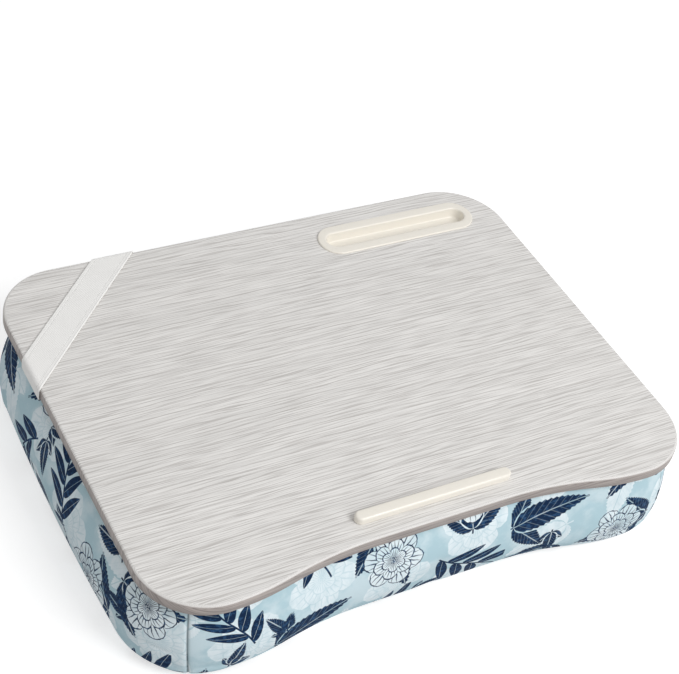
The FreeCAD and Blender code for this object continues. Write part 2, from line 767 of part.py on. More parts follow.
def make_cushion_staples():
    """Staples that hold the cushion's backing to the board, along all four edges."""
    p = plan(backing_inset() + value["staple_margin"], soft=True)
    places = [(vector(x, p["back"]), 0) for x in BACK_STAPLES]
    places += [(vector(x, p["dip"]), 0) for x in FRONT_STAPLES]
    places += [(vector(side * p["half"], y), 90) for side in (-1, 1) for y in SIDE_STAPLES]
    top = UNDERSIDE - value["backing_thick"]
    return solid_feature("cushion_staples", Part.makeCompound([staple_shape(*place, top) for place in places]))


# Cushion


def tuck_inset():
    """Inset of the cover's top edge, which is tucked in under the board, from its widest line."""
    return value["side_bulge"] + value["cover_inset"]


def backing_inset():
    return tuck_inset() + value["cover_thick"] + value["fit_gap"]


def base_inset(height, wall):
    """Inset of the crowned base at a height, for a skin that lies wall inside the outer face.

    A quarter circle leads from the upright wall to the crown, which falls to a flat foot.
    """
    radius = value["bottom_round"]
    crown = value["crown_rise"] + wall
    if height < crown:
        slope = (crown - height) / value["crown_rise"]
        return value["haunch_inset"] + radius + (value["foot_inset"] - radius) * slope
    rise = max(radius + value["crown_rise"] - height, 0.0)
    return value["haunch_inset"] + radius - math.sqrt(max((radius - wall) ** 2 - rise ** 2, 0.0))


def wall_inset(height, wall):
    """Inset of the wall above its base: it grows with the square of the height from the widest line."""
    widest = value["bulge_height"]
    haunch = value["bottom_round"] + value["crown_rise"]
    if height < widest:
        return wall + value["haunch_inset"] * ((widest - height) / (widest - haunch)) ** 2
    return wall + tuck_inset() * ((height - widest) / (value["cushion_height"] - widest)) ** 2


def steps(first, last, count):
    """Evenly spaced numbers after the first, up to the last."""
    return [first + (last - first) * step / count for step in range(1, count + 1)]


def wall_levels(wall):
    """Height and inset of each section of the cushion's wall, from its seam to its top."""
    radius, crown = value["bottom_round"], value["crown_rise"]
    seam, haunch = value["seam_height"], radius + crown
    lean = math.acos((haunch - seam) / radius)
    round_heights = [haunch - radius * math.cos(angle) for angle in steps(lean, math.pi / 2, ROUND_STEPS)]
    widest = value["bulge_height"]
    upper = steps(haunch, widest, WAIST_STEPS) + steps(widest, value["cushion_height"], SHOULDER_STEPS)
    curved = [(height, base_inset(height, wall)) for height in [seam] + round_heights]
    return curved + [(height, wall_inset(height, wall)) for height in upper]


def base_levels(wall):
    """Height and inset of the sections of a bolster's underside: foot, crown and seam."""
    heights = (wall, wall + value["crown_rise"], value["seam_height"])
    return [(height, base_inset(height, wall)) for height in heights]


def half_path(height, wall, inset):
    """Right half section, whose inner edge falls away below the seam to form the middle valley."""
    middle = value["baffle_thick"] / 2 + wall
    if height < value["seam_height"]:
        seam, foot = base_inset(value["seam_height"], wall), base_inset(wall, wall)
        middle += value["valley_width"] / 2 * (inset - seam) / (foot - seam)
    corner = value["channel_corner"] + middle
    return right_half_path(plan(inset, soft=True), middle, corner)


def panel(path):
    """Side panel of the cover: a ruled loft through thin bands that share the plan outline."""
    wires = []
    for outer, inner in zip(wall_levels(0.0), wall_levels(value["cover_thick"])):
        outside = path(plan(outer[1], soft=True))
        inside = path(plan(inner[1], soft=True))
        wires.append(band_wire(outside, inside, outer[0]))
    return Part.makeLoft(wires, True, True)


def chord_points(path, height):
    """Corners of a closed path, with each arc cut into a few flat sides."""
    points = []
    for piece in path:
        count = 1 if piece[0] == "line" else ARC_CHORDS
        points += [path_point(piece, step / count, height) for step in range(count)]
    return points


def half_block(levels, wall):
    """Right half of the cushion's form through level sections, with flat faces between their chords."""
    rings = [chord_points(half_path(height, wall, inset), height) for height, inset in levels]
    faces = [Part.Face(Part.makePolygon(ring + ring[:1])) for ring in (rings[0], rings[-1])]
    for low, high in zip(rings, rings[1:]):
        for here in range(len(low)):
            corners = [low[here - 1], low[here], high[here], high[here - 1]]
            faces.append(Part.Face(Part.makePolygon(corners + corners[:1])))
    return Part.makeSolid(Part.makeShell(faces))


def bolster_base():
    """Right bottom panel of the cover: a dish with a crowned rim and a flat foot."""
    outside = half_block(base_levels(0.0), 0.0)
    return outside.cut(half_block(base_levels(value["cover_thick"]), value["cover_thick"]))


def bead_bag():
    """Right bead bag: fills its half of the cover, clear of it by the fill gap."""
    wall = value["cover_thick"] + value["fill_gap"]
    top = value["cushion_height"] - value["backing_thick"] - value["fill_headroom"]
    upper = wall_levels(wall)[1:]
    return half_block(base_levels(wall) + upper[:-1] + [(top, upper[-1][1])], wall)


def centre_baffle():
    """Sheet between the two bags, from the bottom seam to the backing, shaped to the cover."""
    half = value["baffle_thick"] / 2
    levels = wall_levels(value["cover_thick"] + value["fit_gap"])
    levels[-1] = (value["cushion_height"] - value["backing_thick"], levels[-1][1])
    wires = []
    for height, inset in levels:
        p = plan(inset, soft=True)
        corners = [(-half, p["dip"]), (half, p["dip"]), (half, p["back"]), (-half, p["back"])]
        wires.append(Part.makePolygon([vector(x, y, height) for x, y in corners + corners[:1]]))
    return Part.makeLoft(wires, True, True)


def strap_notches(depth):
    """Room for the strap's two tails under the board."""
    skin = value["move_gap"] + value["strap_thick"]
    spare = value["move_gap"]
    cuts = []
    for at_left in (True, False):
        corners = tail_corners(skin + value["side_bulge"], spare, strap_tail() + spare, at_left)
        base = [point + vector(0, 0, UNDERSIDE - depth) for point in corners]
        face = Part.Face(Part.makePolygon(base + base[:1]))
        cuts.append(face.extrude(vector(0, 0, depth)))
    return cuts


def mirrored(shape):
    return shape.mirror(vector(0, 0, 0), vector(1, 0, 0))


def cushion_backing():
    """Stiff felt panel that closes the cushion's top, cut out round the strap's tails."""
    thick = value["backing_thick"]
    outline = path_edges(whole_path(plan(backing_inset(), soft=True)), UNDERSIDE - thick)
    sheet_shape = Part.Face(Part.Wire(outline)).extrude(vector(0, 0, thick))
    return sheet_shape.cut(strap_notches(thick))


def make_cushion():
    """Backing, cover panels, bead bags and baffle of the cushion."""
    notches = strap_notches(value["move_gap"] * 2 + value["strap_thick"])
    right = panel(right_path)
    base = bolster_base()
    bag = bead_bag()
    return [
        solid_feature("cushion_backing", cushion_backing()),
        solid_feature("cover_front_panel", panel(front_path)),
        solid_feature("cover_back_panel", panel(back_path).cut(notches[1])),
        solid_feature("cover_right_panel", right),
        solid_feature("cover_left_panel", mirrored(right).cut(notches[0])),
        solid_feature("cover_right_base", base),
        solid_feature("cover_left_base", mirrored(base)),
        solid_feature("right_bead_bag", bag),
        solid_feature("left_bead_bag", mirrored(bag)),
        solid_feature("centre_baffle", centre_baffle()),
    ]


def write_parts(pieces):
    """Stop on any failed object or bad shape, then write one STEP file for each piece."""
    doc.recompute()
    for item in doc.Objects:
        if "Invalid" in item.State or "Error" in item.State:
            raise RuntimeError(f"{item.Name} failed: {item.State}")
    for piece in pieces:
        if piece.Shape.isNull() or not piece.Shape.isValid():
            raise RuntimeError(f"{piece.Label} has no valid shape")
    os.makedirs("parts", exist_ok=True)
    for piece in pieces:
        piece.Shape.exportStep(f"parts/{piece.Label}.step")


write_parts([
    make_board_core(),
    make_woodgrain_foil(),
    make_device_ledge(),
    make_ledge_screws(),
    make_phone_holder(),
    make_elastic_strap(),
    make_strap_staples(),
    make_cushion_staples(),
    *make_cushion(),
])
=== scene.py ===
import math

import bmesh
import bpy
import numpy as np
from bpy.props import FloatProperty, FloatVectorProperty, IntProperty, PointerProperty
from mathutils import Euler, Matrix, Vector


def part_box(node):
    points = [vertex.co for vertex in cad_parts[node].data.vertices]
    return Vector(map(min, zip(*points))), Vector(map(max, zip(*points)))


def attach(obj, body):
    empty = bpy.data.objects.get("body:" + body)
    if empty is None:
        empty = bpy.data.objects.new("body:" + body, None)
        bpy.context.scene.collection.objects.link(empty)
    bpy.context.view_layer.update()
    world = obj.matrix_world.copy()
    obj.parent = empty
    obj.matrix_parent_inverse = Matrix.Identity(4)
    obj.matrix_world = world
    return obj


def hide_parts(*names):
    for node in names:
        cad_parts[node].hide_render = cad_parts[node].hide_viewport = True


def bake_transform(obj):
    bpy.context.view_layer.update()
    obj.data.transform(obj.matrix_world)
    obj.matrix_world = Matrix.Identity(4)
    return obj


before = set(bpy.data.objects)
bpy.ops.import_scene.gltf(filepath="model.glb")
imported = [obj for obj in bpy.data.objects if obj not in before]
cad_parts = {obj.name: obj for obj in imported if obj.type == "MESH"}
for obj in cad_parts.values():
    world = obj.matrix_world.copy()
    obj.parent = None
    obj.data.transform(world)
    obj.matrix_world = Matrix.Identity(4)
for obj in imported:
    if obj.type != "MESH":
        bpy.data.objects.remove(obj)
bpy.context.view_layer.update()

bl_info = {
    "name": "Lap tray looks",
    "version": (1, 0, 0),
    "blender": (4, 5, 0),
    "location": "3D View > Sidebar > Lap tray",
    "description": "Dresses the packed lap tray with cloth, webbing, mouldings and finishes",
    "category": "Object",
}

MM = 0.001
BOARD_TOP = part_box("woodgrain_foil")[1].z
BOARD_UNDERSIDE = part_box("woodgrain_foil")[0].z
COVER_NODES = (
    "cover_front_panel", "cover_back_panel", "cover_right_panel", "cover_left_panel",
    "cover_right_base", "cover_left_base", "right_bead_bag", "left_bead_bag", "centre_baffle",
)


def length(name, default, description):
    return FloatProperty(name=name, default=default, description=description, unit="LENGTH", precision=5)


def colour(name, default, description):
    return FloatVectorProperty(
        name=name, default=default, description=description, subtype="COLOR", size=3, min=0, max=1
    )


class TrayBoardSizes(bpy.types.PropertyGroup):
    """Plan of the board, which the cushion's plan is drawn from."""

    width: length("Width", 0.452, "Width of the board")
    depth: length("Depth", 0.348, "Depth of the board")
    corner: length("Corner", 0.051, "Radius of the board's corners in plan")
    dip: length("Hollow", 0.0144, "Depth of the hollow in the front edge")
    flat: length("Hollow flat", 0.11, "Straight middle of the hollow")
    hollow_share: FloatProperty(
        name="Hollow share", default=0.6112, description="Share of the curve radii that the hollow takes"
    )


class TrayCushionSizes(bpy.types.PropertyGroup):
    """Form of the bead cushion."""

    height: length("Height", 0.073, "Height of the cushion under the board")
    tuck: length("Tuck", 0.005, "How far the cover's top edge lies inside the board's edge")
    side_bulge: length("Side bulge", 0.0115, "Swelling past the board's sides")
    end_bulge: length("End bulge", 0.0035, "Swelling past the board's front and back")
    side_bow: length("Side bow", 0.003, "Bow of the sides in plan")
    front_pull: length("Front corner pull", 0.006, "Extra rounding of the front corners")
    back_pull: length("Back corner pull", 0.018, "Extra rounding of the back corners")
    widest: length("Widest line", 0.028, "Height of the widest line")
    haunch: length("Haunch", 0.001, "Inset of the wall where it turns under")
    bottom_round: length("Bottom round", 0.0115, "Radius of the turn to the underside")
    hollow_fill: length("Hollow fill", 0.003, "How much shallower the cushion's hollow is than the board's")
    crown: length("Crown", 0.0015, "Rise of the underside's rim over its foot")
    foot_inset: length("Foot inset", 0.024, "Inset of the flat foot from the wall")
    seam_turn: FloatProperty(
        name="Seam turn", default=math.radians(29.2), description="Turn from front or back to a corner seam",
        subtype="ANGLE",
    )
    seam_slant: length("Seam slant", 0.008, "How far a corner seam leans towards the middle on its way down")
    seam_half: length("Seam half width", 0.0011, "Half the width of the groove along a corner seam")
    seam_depth: length("Seam depth", 0.0009, "Depth of that groove")
    valley_depth: length("Valley depth", 0.0045, "Depth of the sewn valley between the two halves")
    valley_half: length("Valley half width", 0.012, "Half the width of that valley")
    columns: IntProperty(name="Columns", default=400, description="Points round it", min=100, max=600)
    pressure: FloatProperty(name="Pressure", default=4.0, description="Pressure of the simulated filling")
    swell_cap: length("Swell cap", 0.002, "Furthest that the simulation may move a point")


class TrayStrapSizes(bpy.types.PropertyGroup):
    """Form of the elastic strap."""

    width: length("Width", 0.0255, "Width of the strap")
    thick: length("Thickness", 0.0012, "Thickness of the strap")
    reach: length("Reach", 0.106, "Distance from the corner along each edge")
    lift: length("Lift", 0.0003, "Clearance between strap and board")
    tail: length("Tail", 0.0288, "Length of each tail under the board, at right angles to the edge")
    edge_round: length("Edge round", 0.002, "Rounding of the board's top edge under the strap")
    hinge: length("Hinge", 0.006, "Distance inside the board's edge where the strap starts to lift")


class TrayMouldingSizes(bpy.types.PropertyGroup):
    """Form of the ledge and the phone holder."""

    ledge_length: length("Ledge length", 0.131, "Length of the stop ledge")
    ledge_width: length("Ledge width", 0.0095, "Width of the stop ledge")
    ledge_height: length("Ledge height", 0.006, "Height of the stop ledge over the board")
    ledge_round: length("Ledge round", 0.0019, "Rounding of the ledge's upper edges")
    holder_length: length("Holder length", 0.15, "Length of the holder's rim")
    holder_width: length("Holder width", 0.035, "Width of the holder's rim")
    rim: length("Rim", 0.0016, "Thickness of the holder's rim on the board")
    slot_length: length("Slot length", 0.135, "Length of the phone slot")
    slot_width: length("Slot width", 0.017, "Width of the phone slot")


class TrayColours(bpy.types.PropertyGroup):
    """Colours of the finishes."""

    wood_light: colour("Wood light", (0.87, 0.853, 0.83), "Lightest grain of the board's foil")
    wood_dark: colour("Wood dark", (0.42, 0.395, 0.375), "Darkest grain of the board's foil")
    wood_edge: colour("Wood edge", (0.42, 0.36, 0.335), "Grain on the board's edge")
    ivory: colour("Ivory", (0.97, 0.965, 0.95), "Moulded plastic of the ledge and holder")
    webbing: colour("Webbing", (0.95, 0.94, 0.92), "Elastic strap")
    ground: colour("Cloth ground", (0.47, 0.65, 0.72), "Ground of the printed cloth")
    tint: colour("Cloth tint", (0.86, 0.94, 0.98), "Pale shapes in the print")
    ink: colour("Cloth ink", (0.004, 0.02, 0.06), "Dark motifs in the print")
    ink_wash: colour("Cloth ink wash", (0.022, 0.07, 0.16), "Thinner ink in the dark motifs")
    core: colour("Fibreboard", (0.42, 0.30, 0.19), "Bare fibreboard under the board")
    felt: colour("Felt", (0.10, 0.105, 0.11), "Felt that closes the cushion")
    steel: colour("Steel", (0.55, 0.55, 0.56), "Staples and screws")


def sizes(group):
    """The settings of one group."""
    return getattr(bpy.context.scene, f"tray_{group}")


# Meshes

MERGE_DISTANCE = 1e-6


def quad_corners(rows, columns):
    """Row and column numbers of the corners of each quad of a grid whose last column joins its first."""
    row = np.arange(rows - 1)[:, None, None] + np.array([0, 0, 1, 1])
    column = np.arange(columns)[:, None] + np.array([0, 1, 1, 0])
    return np.broadcast_arrays(row, column)


def grid_piece(name, points, uv=None, marks=None, sharp=35.0, flip=False):
    """Object from a grid of points (rows, columns, 3) that closes on itself, with coinciding points merged.

    A mark is a number at each point, which the mesh keeps as an attribute. Flip turns the faces round
    where the grid's order would leave them facing inwards.
    """
    columns = points.shape[1]
    row, column = quad_corners(len(points), columns)
    faces = (row * columns + column % columns).reshape(-1, 4)
    if flip:
        faces = faces[:, ::-1]
        uv = None if uv is None else uv[:, ::-1]
    mesh = bpy.data.meshes.new(name)
    mesh.from_pydata(points.reshape(-1, 3).tolist(), [], faces.tolist())
    if uv is not None:
        layer = mesh.uv_layers.new(name="cut")
        layer.data.foreach_set("uv", uv.astype(np.float32).ravel())
    for mark, values in (marks or {}).items():
        attribute = mesh.attributes.new(mark, "FLOAT", "POINT")
        attribute.data.foreach_set("value", values.astype(np.float32).ravel())
    work = bmesh.new()
    work.from_mesh(mesh)
    bmesh.ops.remove_doubles(work, verts=work.verts, dist=MERGE_DISTANCE)
    work.to_mesh(mesh)
    work.free()
    mesh.shade_smooth()
    mesh.set_sharp_from_angle(angle=math.radians(sharp))
    piece = bpy.data.objects.new(name, mesh)
    bpy.context.scene.collection.objects.link(piece)
    return piece


def numbers(items, name, width):
    """A property of a mesh's points as an array with one row for each point."""
    values = np.empty(len(items) * width, np.float32)
    items.foreach_get(name, values)
    return values.reshape(-1, width)


def quarter_turn(count):
    """Angles from zero to a right angle."""
    return np.linspace(0, math.pi / 2, count)


class Outline:
    """The cushion's closed plan outline of arcs and lines, read as arrays at any distance along it.

    It is the board's outline swollen by the bulges, with bowed sides, a fuller hollow and rounder corners.
    It runs from the right side round the back to the front, where two lobes lead into the hollow.
    """

    def __init__(self, board, cushion):
        half, reach = board.width / 2 + cushion.side_bulge, board.depth / 2 + cushion.end_bulge
        corner = board.corner + (cushion.side_bulge + cushion.end_bulge) / 2
        front, back = corner + cushion.front_pull, corner + cushion.back_pull
        low, high = front - reach, reach - back
        span, bow = (high - low) / 2, cushion.side_bow
        radius = (span ** 2 + bow ** 2) / (2 * bow)
        front_tilt = math.asin(span / (radius - front))
        back_tilt = math.asin(span / (radius - back))
        front_x = half - radius + (radius - front) * math.cos(front_tilt)
        back_x = half - radius + (radius - back) * math.cos(back_tilt)
        flat, dip = board.flat / 2, board.dip - cushion.hollow_fill
        run = front_x - flat
        both = (run ** 2 + dip ** 2) / (2 * dip)
        hollow = both * board.hollow_share
        lobe = both - hollow
        turn = 2 * math.atan(dip / run)
        up, left, down = math.pi / 2, math.pi, 1.5 * math.pi
        side_y = (low + high) / 2
        lobe_y, hollow_y = lobe - reach, dip - reach - hollow
        # An arc: middle, radius, first and last angle, and the side that its middle is on. A line: its ends.
        pieces = [
            (half - radius, side_y, radius, -front_tilt, back_tilt, 1),
            (back_x, high, back, back_tilt, up, 1),
            (back_x, reach, -back_x, reach),
            (-back_x, high, back, up, left - back_tilt, 1),
            (radius - half, side_y, radius, left - back_tilt, left + front_tilt, 1),
            (-front_x, low, front, left + front_tilt, down, 1),
            (-front_x, lobe_y, lobe, down, down + turn, 1),
            (-flat, hollow_y, hollow, up + turn, up, -1),
            (-flat, dip - reach, flat, dip - reach),
            (flat, hollow_y, hollow, up, up - turn, -1),
            (front_x, lobe_y, lobe, down - turn, down, 1),
            (front_x, low, front, down, down + up - front_tilt, 1),
        ]
        no_line, no_arc = (0, 0, 1, 0), (0, 0, 1, 0, 0, 1)
        self.front, self.dip, self.front_x = -reach, dip, front_x
        self.line = np.array([len(piece) == len(no_line) for piece in pieces])
        self.ends = np.array([piece if len(piece) == len(no_line) else no_line for piece in pieces])
        self.arcs = np.array([piece if len(piece) == len(no_arc) else no_arc for piece in pieces])
        step = self.ends[:, 2:] - self.ends[:, :2]
        arc_length = self.arcs[:, 2] * np.abs(self.arcs[:, 4] - self.arcs[:, 3])
        self.lengths = np.where(self.line, np.hypot(step[:, 0], step[:, 1]), arc_length)
        self.stops = np.cumsum(self.lengths)
        self.total = self.stops[-1]
        seam = cushion.seam_turn
        corners = ((1, up - seam), (3, up + seam), (5, down - seam), (11, down + seam))
        self.seams = np.array([self.at_angle(index, place) for index, place in corners])

    def at_angle(self, index, place):
        """Distance along the outline at which a corner arc reaches an angle."""
        first, last = self.arcs[index, 3:5]
        return self.stops[index] - self.lengths[index] * (last - place) / (last - first)

    def read(self, distance):
        """Points and outward normals at an array of distances along the outline."""
        index = np.minimum(np.searchsorted(self.stops, distance, side="right"), len(self.stops) - 1)
        share = 1 - (self.stops[index] - distance) / self.lengths[index]
        x, y, radius, first, last, side = np.moveaxis(self.arcs[index], -1, 0)
        turn = first + (last - first) * share
        way = np.stack([np.cos(turn), np.sin(turn)], axis=-1)
        bent = np.stack([x, y], axis=-1) + radius[..., None] * way
        step = self.ends[index, 2:] - self.ends[index, :2]
        straight = self.ends[index, :2] + step * share[..., None]
        across = np.stack([step[..., 1], -step[..., 0]], axis=-1)
        across = across / np.linalg.norm(step, axis=-1, keepdims=True)
        line = self.line[index][..., None]
        return np.where(line, straight, bent), np.where(line, across, way * side[..., None])


# Cushion: gaps under the board and the felt, the rolled lip's rows as inset and drop, and counts of rows
LIP_GAP = 0.25 * MM
FELT_GAP = 1.2 * MM
LIP_INSET = 1.4 * MM
LIP_ROLL = ((1.2 * MM, 0.8 * MM), (0.8 * MM, 0.1 * MM), (0.3 * MM, 0.0))
LIP_DROP = 0.3 * MM
TOP_ROWS, WALL_ROWS, HAUNCH_ROWS, TURN_ROWS, FOOT_ROWS = 8, 30, 8, 12, 33
WALL_EASE = 1.15
# Close columns on either side of a corner seam, and the free stretch past them
SEAM_COLUMNS = np.array([0.5, 1.2, 2.4, 4.2, 7.0]) * MM
SEAM_CLEAR = 2 * MM
# Start of each side panel and of the flat panels on the printed cloth
PANEL_STARTS = np.array([0.0, 0.031, 0.017, 0.053])
FLAT_START = 3.0
# Filling: distances from a seam and from the valley within which the cover is held, and the frames it takes
SEAM_HOLD, VALLEY_HOLD = 2.5 * MM, 5 * MM
HOLD_LEVELS = 10
FILL_FRAMES = 20


def cushion_columns(outline, count):
    """Distances round the cushion: evenly spaced, with a close set at each corner seam."""
    near = np.concatenate([-SEAM_COLUMNS[::-1], [0.0], SEAM_COLUMNS])
    even = np.linspace(0, outline.total, count, endpoint=False)
    clear = seam_distance(outline, even) > SEAM_COLUMNS[-1] + SEAM_CLEAR
    return np.sort(np.concatenate([even[clear], (outline.seams[:, None] + near).ravel()]))


def seam_distance(outline, distance):
    """Distance of each column from the nearest corner seam."""
    return np.abs(distance[:, None] - outline.seams).min(axis=1)


def cushion_grid(outline, distance):
    """Points of the closed cushion and the first and last row of its wall.

    Rows run from the middle of its top, which lies under the felt, out to the lip, down the wall,
    whose inset grows with the square of the height from the widest line, round a quarter circle and
    over the crown to the foot, and across the foot to the middle, which a valley parts in two.
    The columns lean with the height, most at the corner seams.
    """
    c = sizes("cushion")
    plan, normal = outline.read(distance)
    tuck = c.tuck + c.side_bulge * normal[:, 0] ** 2 + c.end_bulge * normal[:, 1] ** 2
    at_front = (normal[:, 1] < 0) & (np.abs(plan[:, 0]) < outline.front_x)
    tuck += c.hollow_fill * at_front * np.clip((plan[:, 1] - outline.front) / outline.dip, 0, 1)
    lip = c.height - LIP_GAP - strap_notch(plan)
    base = c.bottom_round + c.crown
    rows = [(tuck + LIP_INSET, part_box("cushion_backing")[0].z - FELT_GAP)]
    rows += [(tuck + inset, lip - drop) for inset, drop in LIP_ROLL]
    for fall in np.linspace(1, 0, WALL_ROWS) ** WALL_EASE:
        rows.append((tuck * fall ** 2, c.widest + (lip - LIP_DROP - c.widest) * fall))
    for share in np.linspace(0, 1, HAUNCH_ROWS + 1)[1:]:
        rows.append((c.haunch * share ** 2, c.widest + (base - c.widest) * share))
    for turn in quarter_turn(TURN_ROWS + 1)[1:]:
        inset = c.haunch + c.bottom_round * (1 - math.cos(turn))
        rows.append((inset, base - c.bottom_round * math.sin(turn)))
    for share in (0.5, 1.0):
        inset = c.haunch + c.bottom_round + (c.foot_inset - c.bottom_round) * share
        rows.append((inset, c.crown * (1 - share) ** 2))
    insets, heights = (np.array([item + 0 * distance for item in column]) for column in zip(*rows))
    lean = np.interp(distance, outline.seams, (-0.5, 0.5, -0.5, 0.5), period=outline.total)
    around = distance + lean * c.seam_slant * (2 * heights / c.height - 1)
    plan, normal = outline.read(around % outline.total)
    wall = np.concatenate([plan - insets[..., None] * normal, heights[..., None]], axis=-1)
    grow = np.linspace(0, 1, TOP_ROWS + 1)[:-1]
    top = wall[0] * np.stack([grow, grow, np.ones(TOP_ROWS)], axis=-1)[:, None]
    shrink = np.linspace(1, 0, FOOT_ROWS + 1)[1:]
    points = np.concatenate([top, wall, wall[-1] * shrink[:, None, None]])
    valley = np.exp(-(points[..., 0] / c.valley_half) ** 2 * 2)
    under = np.clip(1 - points[..., 2] / c.bottom_round, 0, 1)
    points[..., 2] += c.valley_depth * valley * under
    return points, TOP_ROWS + len(LIP_ROLL), TOP_ROWS + len(wall) - 1


def strap_notch(plan):
    """How far the cover's lip is pressed down under the strap's two tails, with a slope on either side."""
    strap, board = sizes("strap"), sizes("board")
    clearance, margin, slope = 0.3 * MM, 3 * MM, 10 * MM
    inward, left_strip, back_strip = 8 * MM, 30 * MM, 20 * MM
    left, back = -board.width / 2, board.depth / 2
    half = strap.width / math.sqrt(2) + margin
    along = np.where(plan[:, 0] < left + left_strip, plan[:, 1] - (back - strap.reach + inward), 1.0)
    beside = np.where(plan[:, 1] > back - back_strip, plan[:, 0] - (left + strap.reach - inward), 1.0)
    nearest = np.minimum(np.abs(along), np.abs(beside))
    room = strap.lift + strap.thick + clearance
    return room * np.clip((half + slope - nearest) / slope, 0, 1)


def cushion_cut(outline, distance, points, first, last):
    """Corner coordinates of each quad on the flat cloth, in metres.

    The four side panels lie side by side, each with its own start. The wall's coordinates are the
    distance round the cushion and down its wall. The underside and top take their plan.
    """
    rows, columns = points.shape[:2]
    middle = points[:, columns // 8]
    fall = np.cumsum(np.linalg.norm(np.diff(middle, axis=0, prepend=middle[:1]), axis=1))
    around = np.append(distance, outline.total + distance[0])
    row, column = quad_corners(rows, columns)
    panel = np.searchsorted(outline.seams, (around[:-1] + around[1:]) / 2) % len(PANEL_STARTS)
    wall = np.stack([around[column], fall[first] - fall[row] + PANEL_STARTS[panel][:, None]], axis=-1)
    flat = points[row, column % columns][..., :2] + FLAT_START
    on_wall = ((np.arange(rows - 1) >= first) & (np.arange(rows - 1) < last))[:, None, None, None]
    return np.where(on_wall, wall, flat).reshape(-1, 4, 2)


def fill_cushion(piece, hold):
    """Let the filling press on the cover for some frames, then keep each point's move within the cap."""
    c = sizes("cushion")
    scene = bpy.context.scene
    rest = numbers(piece.data.vertices, "co", 3)
    group = piece.vertex_groups.new(name="held")
    levels = np.round(hold[:, 0] * HOLD_LEVELS).astype(int)
    for level in range(1, HOLD_LEVELS + 1):
        group.add(np.flatnonzero(levels == level).tolist(), level / HOLD_LEVELS, "REPLACE")
    cloth = piece.modifiers.new("Filling", "CLOTH")
    settings = cloth.settings
    settings.quality = 4
    settings.mass = 0.25
    settings.tension_stiffness = 12
    settings.compression_stiffness = 12
    settings.shear_stiffness = 4
    settings.bending_stiffness = 0.3
    settings.shrink_min = 0.0
    settings.use_pressure = True
    settings.uniform_pressure_force = c.pressure
    settings.effector_weights.gravity = 0
    settings.vertex_group_mass = group.name
    cloth.collision_settings.use_collision = False
    cloth.point_cache.frame_start = 1
    cloth.point_cache.frame_end = FILL_FRAMES
    for number in range(1, FILL_FRAMES + 1):
        scene.frame_set(number)
    filled = piece.evaluated_get(bpy.context.evaluated_depsgraph_get()).data
    step = numbers(filled.vertices, "co", 3) - rest
    piece.modifiers.remove(cloth)
    piece.vertex_groups.remove(group)
    scene.frame_set(1)
    far = np.linalg.norm(step, axis=1, keepdims=True)
    if not np.isfinite(far).all():
        raise RuntimeError("the cushion's filling simulation failed")
    step *= np.minimum(1, c.swell_cap / np.maximum(far, 1e-9)) * (1 - hold)
    set_points(piece.data, rest + step)


def press_seams(mesh):
    """Draw the cloth in along each corner seam by the groove's depth."""
    groove = numbers(mesh.attributes["seam"].data, "value", 1)
    out = numbers(mesh.vertices, "normal", 3)
    set_points(mesh, numbers(mesh.vertices, "co", 3) - out * groove * sizes("cushion").seam_depth)


def set_points(mesh, points):
    """Move the mesh's points, none of them below the surface that the cushion stands on."""
    points[:, 2] = np.maximum(points[:, 2], 0)
    mesh.vertices.foreach_set("co", points.ravel())
    mesh.update()


# Finishes


def feed(tree, item, place):
    """Link a field or a socket to a node's input, or set the input to a number or a colour."""
    if isinstance(item, Field):
        item = item.socket
    if isinstance(item, bpy.types.NodeSocket):
        tree.links.new(item, place)
    elif place.type == "RGBA":
        place.default_value = (*item, 1.0)
    else:
        place.default_value = item


def maths(operation):
    """Method that joins a field and others in one Math node."""

    def method(self, *others):
        return self.join(operation, self, *others)

    return method


class Field:
    """A number at each point of a surface, made of Math nodes that Python's operators join."""

    def __init__(self, tree, socket):
        self.tree = tree
        self.socket = socket

    def join(self, operation, *items):
        node = self.tree.nodes.new("ShaderNodeMath")
        node.operation = operation
        for place, item in zip(node.inputs, items):
            feed(self.tree, item, place)
        return Field(self.tree, node.outputs[0])

    __add__ = __radd__ = maths("ADD")
    __sub__ = maths("SUBTRACT")
    __mul__ = __rmul__ = maths("MULTIPLY")
    __truediv__ = maths("DIVIDE")
    __pow__ = maths("POWER")
    __abs__ = maths("ABSOLUTE")
    sin = maths("SINE")
    cos = maths("COSINE")
    arctan2 = maths("ARCTAN2")
    floor = maths("FLOOR")
    fract = maths("FRACT")
    sign = maths("SIGN")
    least = maths("MINIMUM")
    most = maths("MAXIMUM")

    def __rsub__(self, other):
        return self.join("SUBTRACT", other, self)

    def clamp(self):
        return self.least(1.0).most(0.0)

    def over(self, edge, soft):
        """Rises smoothly from 0 to 1 where the field passes an edge."""
        node = self.tree.nodes.new("ShaderNodeMapRange")
        node.interpolation_type = "SMOOTHSTEP"
        for name, item in (("Value", self), ("From Min", edge - soft), ("From Max", edge + soft)):
            feed(self.tree, item, node.inputs[name])
        return Field(self.tree, node.outputs["Result"])

    def under(self, edge, soft):
        """Falls smoothly from 1 to 0 where the field passes an edge."""
        return 1.0 - self.over(edge, soft)


